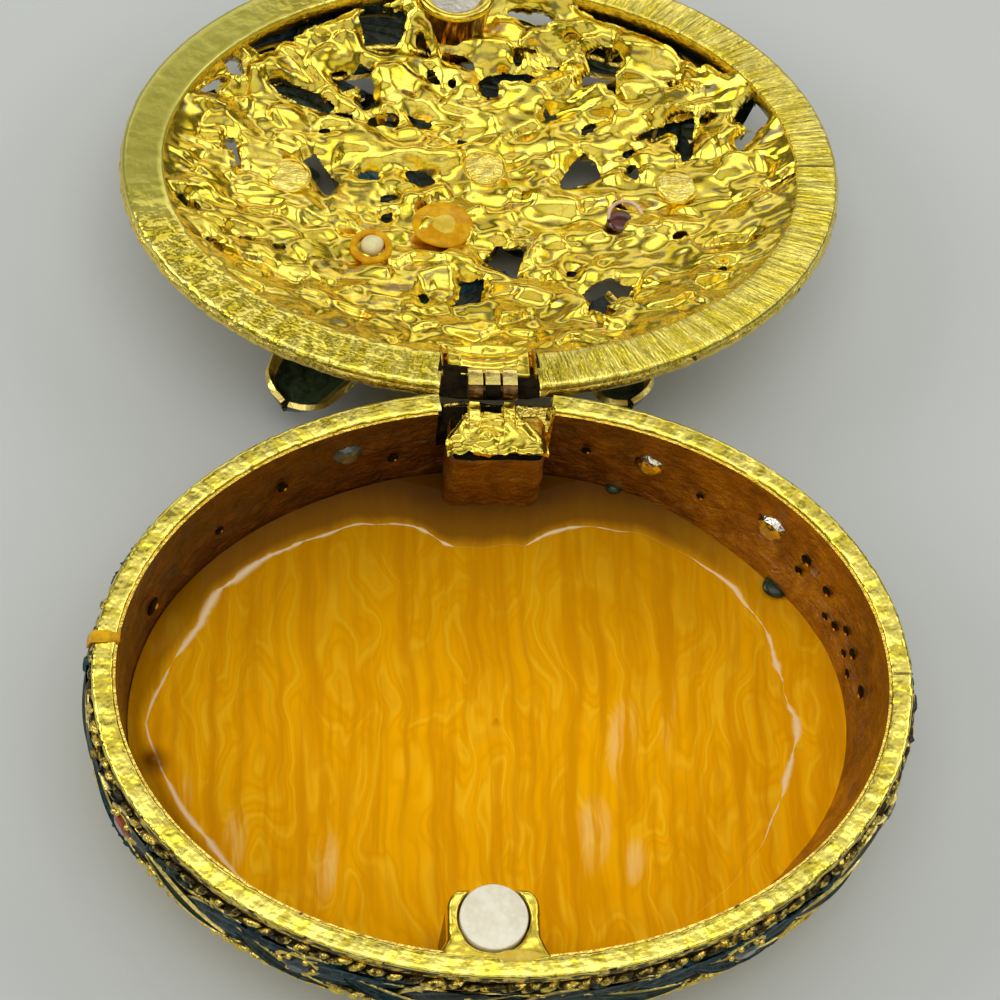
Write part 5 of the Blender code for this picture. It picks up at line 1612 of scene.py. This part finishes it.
def set_light():
    world = bpy.data.worlds.new("studio")
    bpy.context.scene.world = world
    world.use_nodes = True
    back = world.node_tree.nodes["Background"]
    back.inputs["Color"].default_value = (1.0, 0.96, 0.60, 1.0)
    back.inputs["Strength"].default_value = 0.09
    for box in SOFT_BOXES:
        soft_box(*box)
    bpy.context.scene.view_settings.view_transform = "Standard"


def lay_table():
    bpy.ops.mesh.primitive_plane_add(size=3.0)
    table = fresh("table")
    paint(table, table_top())


# ------------------------------------------------------------------ building

set_camera()
set_light()
lay_table()

GOLD_CAST = cast_gold("cast_gold", 0.5, 0.17)
GOLD_HINGE = cast_gold("hinge_gold", 0.1, 0.2)
GOLD_RELIEF = relief_gold("relief_gold", 0.0)
# Relief gold with more painted shade: the rope under the rim, the frieze borders and the rim's outer edge.
GOLD_SHADED = relief_gold("shaded_relief_gold", 0.18)
LACQUER = wall_lacquer("wall_lacquer", 1.0, 28.0)
BLOCK_LACQUER = wall_lacquer("block_lacquer", -26.0, 26.0)
ENAMEL_GROUND = enamel("enamel_ground", (0.003, 0.008, 0.008), (0.012, 0.03, 0.03), edge=None)
TEAL = enamel("teal_enamel", (0.002, 0.010, 0.015), (0.006, 0.050, 0.064), 0.93)
SLATE = enamel("slate_enamel", (0.010, 0.018, 0.014), (0.04, 0.06, 0.046), 0.93)
MOSS = enamel("moss_enamel", (0.008, 0.014, 0.006), (0.035, 0.055, 0.026), vein=0.06)
INK = enamel("ink_enamel", (0.003, 0.006, 0.004), (0.014, 0.022, 0.016), vein=0.04)
BASE_RIM_GOLD = rim_gold("bowl_rim_gold", 0.0)
LID_RIM_GOLD = rim_gold("lid_rim_gold", 1.0)
RESIN = marbled_resin()
MAGNET = plain_gloss("magnet_face", (0.80, 0.74, 0.56), (0.90, 0.85, 0.69), scale=1.2, rough=0.45,
                     metal=0.1, depth=0.03)
STEEL = plain_gloss("magnet_nickel", (0.62, 0.58, 0.50), (0.78, 0.73, 0.64), rough=0.3, metal=0.8)
GLUE = plain_gloss("amber_glue", (0.60, 0.27, 0.001), (0.80, 0.44, 0.004), rough=0.12, coat=0.1, spec=0.1)
YELLOW_GLUE = plain_gloss("yellow_glue", (0.66, 0.45, 0.03), (0.82, 0.60, 0.08), coat=0.2, spec=0.2)
GARNET = plain_gloss("garnet_glue", (0.05, 0.006, 0.002), (0.12, 0.018, 0.006), rough=0.1, coat=0.4)
PINK = plain_gloss("pink_glue", (0.62, 0.36, 0.24), (0.80, 0.56, 0.42), coat=1.0)
CREAM = plain_gloss("cream_pin", (0.72, 0.64, 0.30), (0.84, 0.77, 0.44), rough=0.35, spec=0.3)
CLEAR = crystal()
KNUCKLE_GOLD = plain_gloss("knuckle_gold", (0.93, 0.72, 0.16), (1.0, 0.84, 0.30), scale=0.5, rough=0.24,
                           metal=1.0)
FILED = filed_gold()
POST_SHADE = post_shade_gold()
ORANGE_GOLD = plain_gloss("orange_gold", (0.42, 0.20, 0.01), (0.80, 0.50, 0.06), rough=0.25, metal=0.9)
SHADE_BROWN = plain_gloss("shaded_brown_gold", (0.06, 0.022, 0.003), (0.20, 0.10, 0.02), rough=0.25, metal=0.8)
GAP_SHADE = plain_gloss("painted_gap_shade", (0.003, 0.0025, 0.001), (0.012, 0.008, 0.002), rough=0.5, spec=0.05)
FOIL = plain_gloss("foil_back", (0.55, 0.50, 0.34), (0.90, 0.88, 0.80), rough=0.06, metal=1.0)
INK_DROP = plain_gloss("ink_drop", (0.006, 0.012, 0.003), (0.03, 0.04, 0.012), coat=0.25, spec=0.2)
SHADE_BLACK = plain_gloss("painted_shade_black", (0.003, 0.002, 0.001), (0.02, 0.011, 0.002), scale=1.2, rough=0.5,
                   spec=0.05)
CORAL = plain_gloss("coral_bead", (0.22, 0.03, 0.008), (0.50, 0.10, 0.02), scale=0.5, rough=0.15, coat=0.5)
GREEN_STONE = plain_gloss("green_stone", (0.01, 0.03, 0.012), (0.12, 0.13, 0.10), scale=0.5, rough=0.1,
                          coat=0.6)
PETAL_ENAMEL = enamel("petal_enamel", (0.30, 0.06, 0.05), (0.52, 0.20, 0.14))
DARK_BACK = plain_gloss("leaf_back", (0.012, 0.018, 0.006), (0.05, 0.05, 0.012), rough=0.15, metal=0.6,
                        coat=0.6)


def cast_in(piece, body, *nodes):
    """Hand on a piece of the gold casting."""
    hand_on(piece, body, *nodes, slot="gold_casting")


def glue_on(piece, body):
    """Hand on a mark of set glue."""
    hand_on(piece, body, slot="amber_resin")


# Bowl.
cast_in(make_bowl((ENAMEL_GROUND, LACQUER, GOLD_RELIEF, SHADE_BLACK)), "base", "base_shell")
cast_in(make_rim(BASE_RIM_GOLD, GOLD_SHADED), "base")
cast_in(make_rope("upper_rope", 14.35, 0.1, 1.5, 0.42, GOLD_SHADED, 3, skip=NOTCH), "base")
cast_in(make_rope("lower_rope", 8.0, 0.28, 1.2, 0.42, GOLD_RELIEF, 5), "base")
hand_on(make_resin(RESIN), "base", "resin_floor", slot="amber_resin")
cast_in(make_block(BLOCK_LACQUER, GAP_SHADE, ORANGE_GOLD), "base")
hand_on(make_cap(GOLD_HINGE), "base", "base_hinge_leaf", slot="hinge_gold")
for number, x in ((1, -1.7), (2, 1.2)):
    hand_on(make_knuckle(f"knuckle_{number}", x, KNUCKLE_GOLD, SHADE_BROWN), "base", slot="hinge_gold")
# The pin is painted dark brown: painted shade inside the knuckles.
hand_on(make_pin(SHADE_BROWN), "base", "hinge_pin", slot="pin_steel")
cast_in(make_holder(GOLD_HINGE, LACQUER), "base")
magnet = make_disc("clasp_magnet", *CLASP, 14.8, 16.35, 2.68, MAGNET)
hand_on(magnet, "base", "base_magnet", slot="magnet_nickel")
glue_on(make_drip(GLUE), "base")
glue_on(make_drop("clasp_glue", 0.1, -23.75, 16.3, 1.9, 0.3, YELLOW_GLUE, narrow=0.30, seed=2.0, laid=False),
        "base")

for name, height, seed in (("upper", 13.2, 1.0), ("lower", 9.05, 4.0)):
    cast_in(make_border("frieze_border_" + name, height, seed, GOLD_SHADED), "base")
for number, pit in enumerate(WALL_PITS, 1):
    cast_in(make_pit(f"wall_pit_{number}", *pit, GAP_SHADE, GOLD_CAST), "base")
for number, tint in enumerate((FOIL, GREEN_STONE, FOIL), 1):
    x, y, z, wide = WALL_HOLES[number - 1][:4]
    spot, facing = on_inner_wall(x, y, z)
    stone = make_stone(f"wall_crystal_{number}", spot - facing * 0.4, facing, wide * 1.05, 0.6, tint,
                       number - 0.7)
    hand_on(stone, "base", slot="crystal")
for name, x, y, wide in (("back", 10.2, 20.7, 0.7), ("right", 23.4, 12.2, 1.2)):
    spot, facing = on_inner_wall(x, y, 6.6)
    spot = spot + facing * 0.1
    blob = make_drop("green_blob_" + name, *spot, wide, 0.35, INK_DROP, seed=wide, laid=False)
    hand_on(blob, "base", slot="leaf_enamel")
wide_blade = leaf_blade("wide_blade", 12.0, 2.3, 1.6, lift=0.5)
long_blade = leaf_blade("long_blade", 9.5, 1.2, -2.2, lift=0.45)
for index in range(FRIEZE_LEAVES):
    run = wall_length() * index / FRIEZE_LEAVES
    leaf = on_frieze(f"frieze_leaf_{index + 1}", wide_blade, run, 9.6, 11 + 5 * (index % 3),
                     (TEAL, TEAL, INK, SLATE)[index % 4], 0.15)
    hand_on(leaf, "base", slot="leaf_enamel")
    leaf = on_frieze(f"frieze_blade_{index + 1}", long_blade, run + 5.0, 12.6, -14 + 6 * (index % 2),
                     (SLATE, TEAL, MOSS)[index % 3], 0.35)
    hand_on(leaf, "base", slot="leaf_enamel")
drop(wide_blade)
drop(long_blade)
for index, degrees in enumerate(STONE_DIRECTIONS):
    c, s = math.cos(math.radians(degrees)), math.sin(math.radians(degrees))
    outward = Vector((c / BOWL_LENGTH, s / BOWL_WIDTH, 0)).normalized()
    seat = Vector((BOWL_LENGTH * c, BOWL_WIDTH * s, STONE_HEIGHT)) + outward * 0.3
    tint = {4: CORAL, 6: GREEN_STONE}.get(index, CLEAR)
    stone = make_stone(f"bowl_crystal_{index + 1}", seat, outward, STONE_RADIUS, 1.1, tint, index)
    hand_on(stone, "base", f"side_stone_{index + 1}", slot="crystal")
    collet = make_collet(f"bowl_collet_{index + 1}", seat - outward * 0.05, outward, STONE_RADIUS,
                         GOLD_RELIEF)
    cast_in(collet, "base")

# Lid.
cast_in(make_openwork(GOLD_CAST, GOLD_RELIEF), "lid", "lid_shell")
cast_in(make_lid_rim(LID_RIM_GOLD, GOLD_RELIEF, SHADE_BLACK), "lid")
cast_in(make_post(GOLD_CAST, POST_SHADE), "lid")
post_magnet = lay_open(make_disc("post_magnet", *POST, 0.35, 2.0, 2.6, STEEL))
hand_on(post_magnet, "lid", "lid_magnet", slot="magnet_nickel")
for seed, (name, x, v, *_, sunk) in enumerate(BLOSSOMS, 1):
    h = dish_height(x, v) - sunk
    cast_in(make_ring("rivet_edge_" + name, x, v, h + 0.2, RIVET_RADIUS - 0.01, 0.13, GOLD_HINGE), "lid")
    cast_in(make_rivet("rivet_" + name, x, v, h, RIVET_RADIUS, FILED, seed), "lid")
amber_top = dish_height(-3.2, 2.1)
glue_on(make_drop("amber_drop", -3.2, 2.1, amber_top - 0.1, 2.75, 0.62, GLUE, seed=3.0), "lid")
glue_on(make_drop("amber_heart", -3.2, 2.2, amber_top - 0.42, 1.5, 0.36, YELLOW_GLUE, seed=4.0), "lid")
glue_on(make_ring("pin_ring", -9.7, 5.3, dish_height(-9.7, 5.3) - 0.3, 1.55, 0.34, GLUE), "lid")
cast_in(make_drop("cream_pin", -9.6, 5.0, dish_height(-9.6, 5.0) - 0.2, 1.05, 0.8, CREAM, seed=5.0), "lid")
glue_on(make_drop("garnet_drop", 12.8, 2.0, dish_height(12.8, 2.0) - 0.1, 1.3, 0.45, GARNET, seed=7.0), "lid")
glue_on(make_ring("garnet_ring", 13.2, 1.5, dish_height(13.2, 1.5) - 0.15, 1.5, 0.18, PINK, 0.2), "lid")

hand_on(make_tongue(GOLD_HINGE, ORANGE_GOLD), "lid", "lid_hinge_leaf", slot="hinge_gold")
hand_on(make_knuckle("knuckle_3", -0.25, KNUCKLE_GOLD, GAP_SHADE), "lid", slot="hinge_gold")

for name, x, v, petals, reach, notch, sunk in BLOSSOMS:
    blossom = make_blossom("petals_" + name, x, v, petals, reach, notch, PETAL_ENAMEL, INK_DROP)
    hand_on(blossom, "lid", "blossom_" + name, slot="blossom_enamel")
    top = dome_height(x, v)
    heart = make_disc("heart_" + name, x, v, top - 1.4, top + 1.55, RIVET_RADIUS, GOLD_RELIEF, bevel=0.3,
                      sides=48)
    cast_in(lay_open(heart), "lid")
    gem = lay_open(make_stone("gem_" + name, (x, v, top + 1.85), UP, 1.45, 0.25, CLEAR))
    hand_on(gem, "lid", "blossom_" + name + "_stone", slot="crystal")
for number, (x, v) in enumerate(LID_GEMS, 1):
    top = dome_height(x, v)
    gem = lay_open(make_stone(f"lid_gem_{number}", (x, v, top + 0.45), UP, LID_GEM_RADIUS, 0.3, CLEAR))
    hand_on(gem, "lid", f"lid_stone_{number}", slot="crystal")
    collet = make_collet(f"lid_collet_{number}", (x, v, top + 0.35), UP, LID_GEM_RADIUS, GOLD_RELIEF)
    cast_in(lay_open(collet), "lid")
for name, root, tip, half_width, tip_height in HOLLOW_LEAVES:
    leaf = make_hollow_leaf("hollow_leaf_" + name, root, tip, half_width, tip_height, MOSS, DARK_BACK)
    hand_on(leaf, "lid", "leaf_" + name, slot="leaf_enamel")

# Dark leaves behind the openings, except where light falls through: painted shade that makes them read black.
flat_blade = leaf_blade("flat_blade", 7.0, 1.7, 0.9)
openings_to_shade = [(x, v, turn, long, short) for x, v, long, short, turn in OPENINGS]
for corners in WINDOWS:
    middle = np.mean(corners, 0)
    reach = np.array(corners) - middle
    tip = reach[np.argmax(np.linalg.norm(reach, axis=1))]
    long = np.linalg.norm(tip)
    short = np.abs(reach @ (-tip[1], tip[0])).max() / long
    openings_to_shade.append((*middle, math.degrees(math.atan2(tip[1], tip[0])), long, short))
number = 0
for x, v, turn, long, short in openings_to_shade:
    if min(math.hypot(x - open_x, v - open_v) for open_x, open_v in SEE_THROUGH) < 1.3:
        continue
    number += 1
    size = max((short + 0.5) / 1.5, (2 * long + 1.6) / 7)
    back_x, back_v = spun(3.5 * size, 0.6 * size, math.radians(turn))
    leaf = dome_leaf(f"backing_leaf_{number}", flat_blade, x - back_x, v - back_v, turn, size,
                     (INK, MOSS, INK, TEAL)[number % 4], 0.1)
    hand_on(leaf, "lid", slot="leaf_enamel")
for number, (x, v, turn, size) in enumerate(DOME_LEAVES, 1):
    leaf = dome_leaf(f"dome_leaf_{number}", flat_blade, x, v, turn, size, (INK, MOSS)[number % 2])
    hand_on(leaf, "lid", slot="leaf_enamel")
drop(flat_blade)
for number, path in enumerate(VINES, 1):
    cast_in(make_vine(f"vine_{number}", path, 0.45, GOLD_RELIEF), "lid")
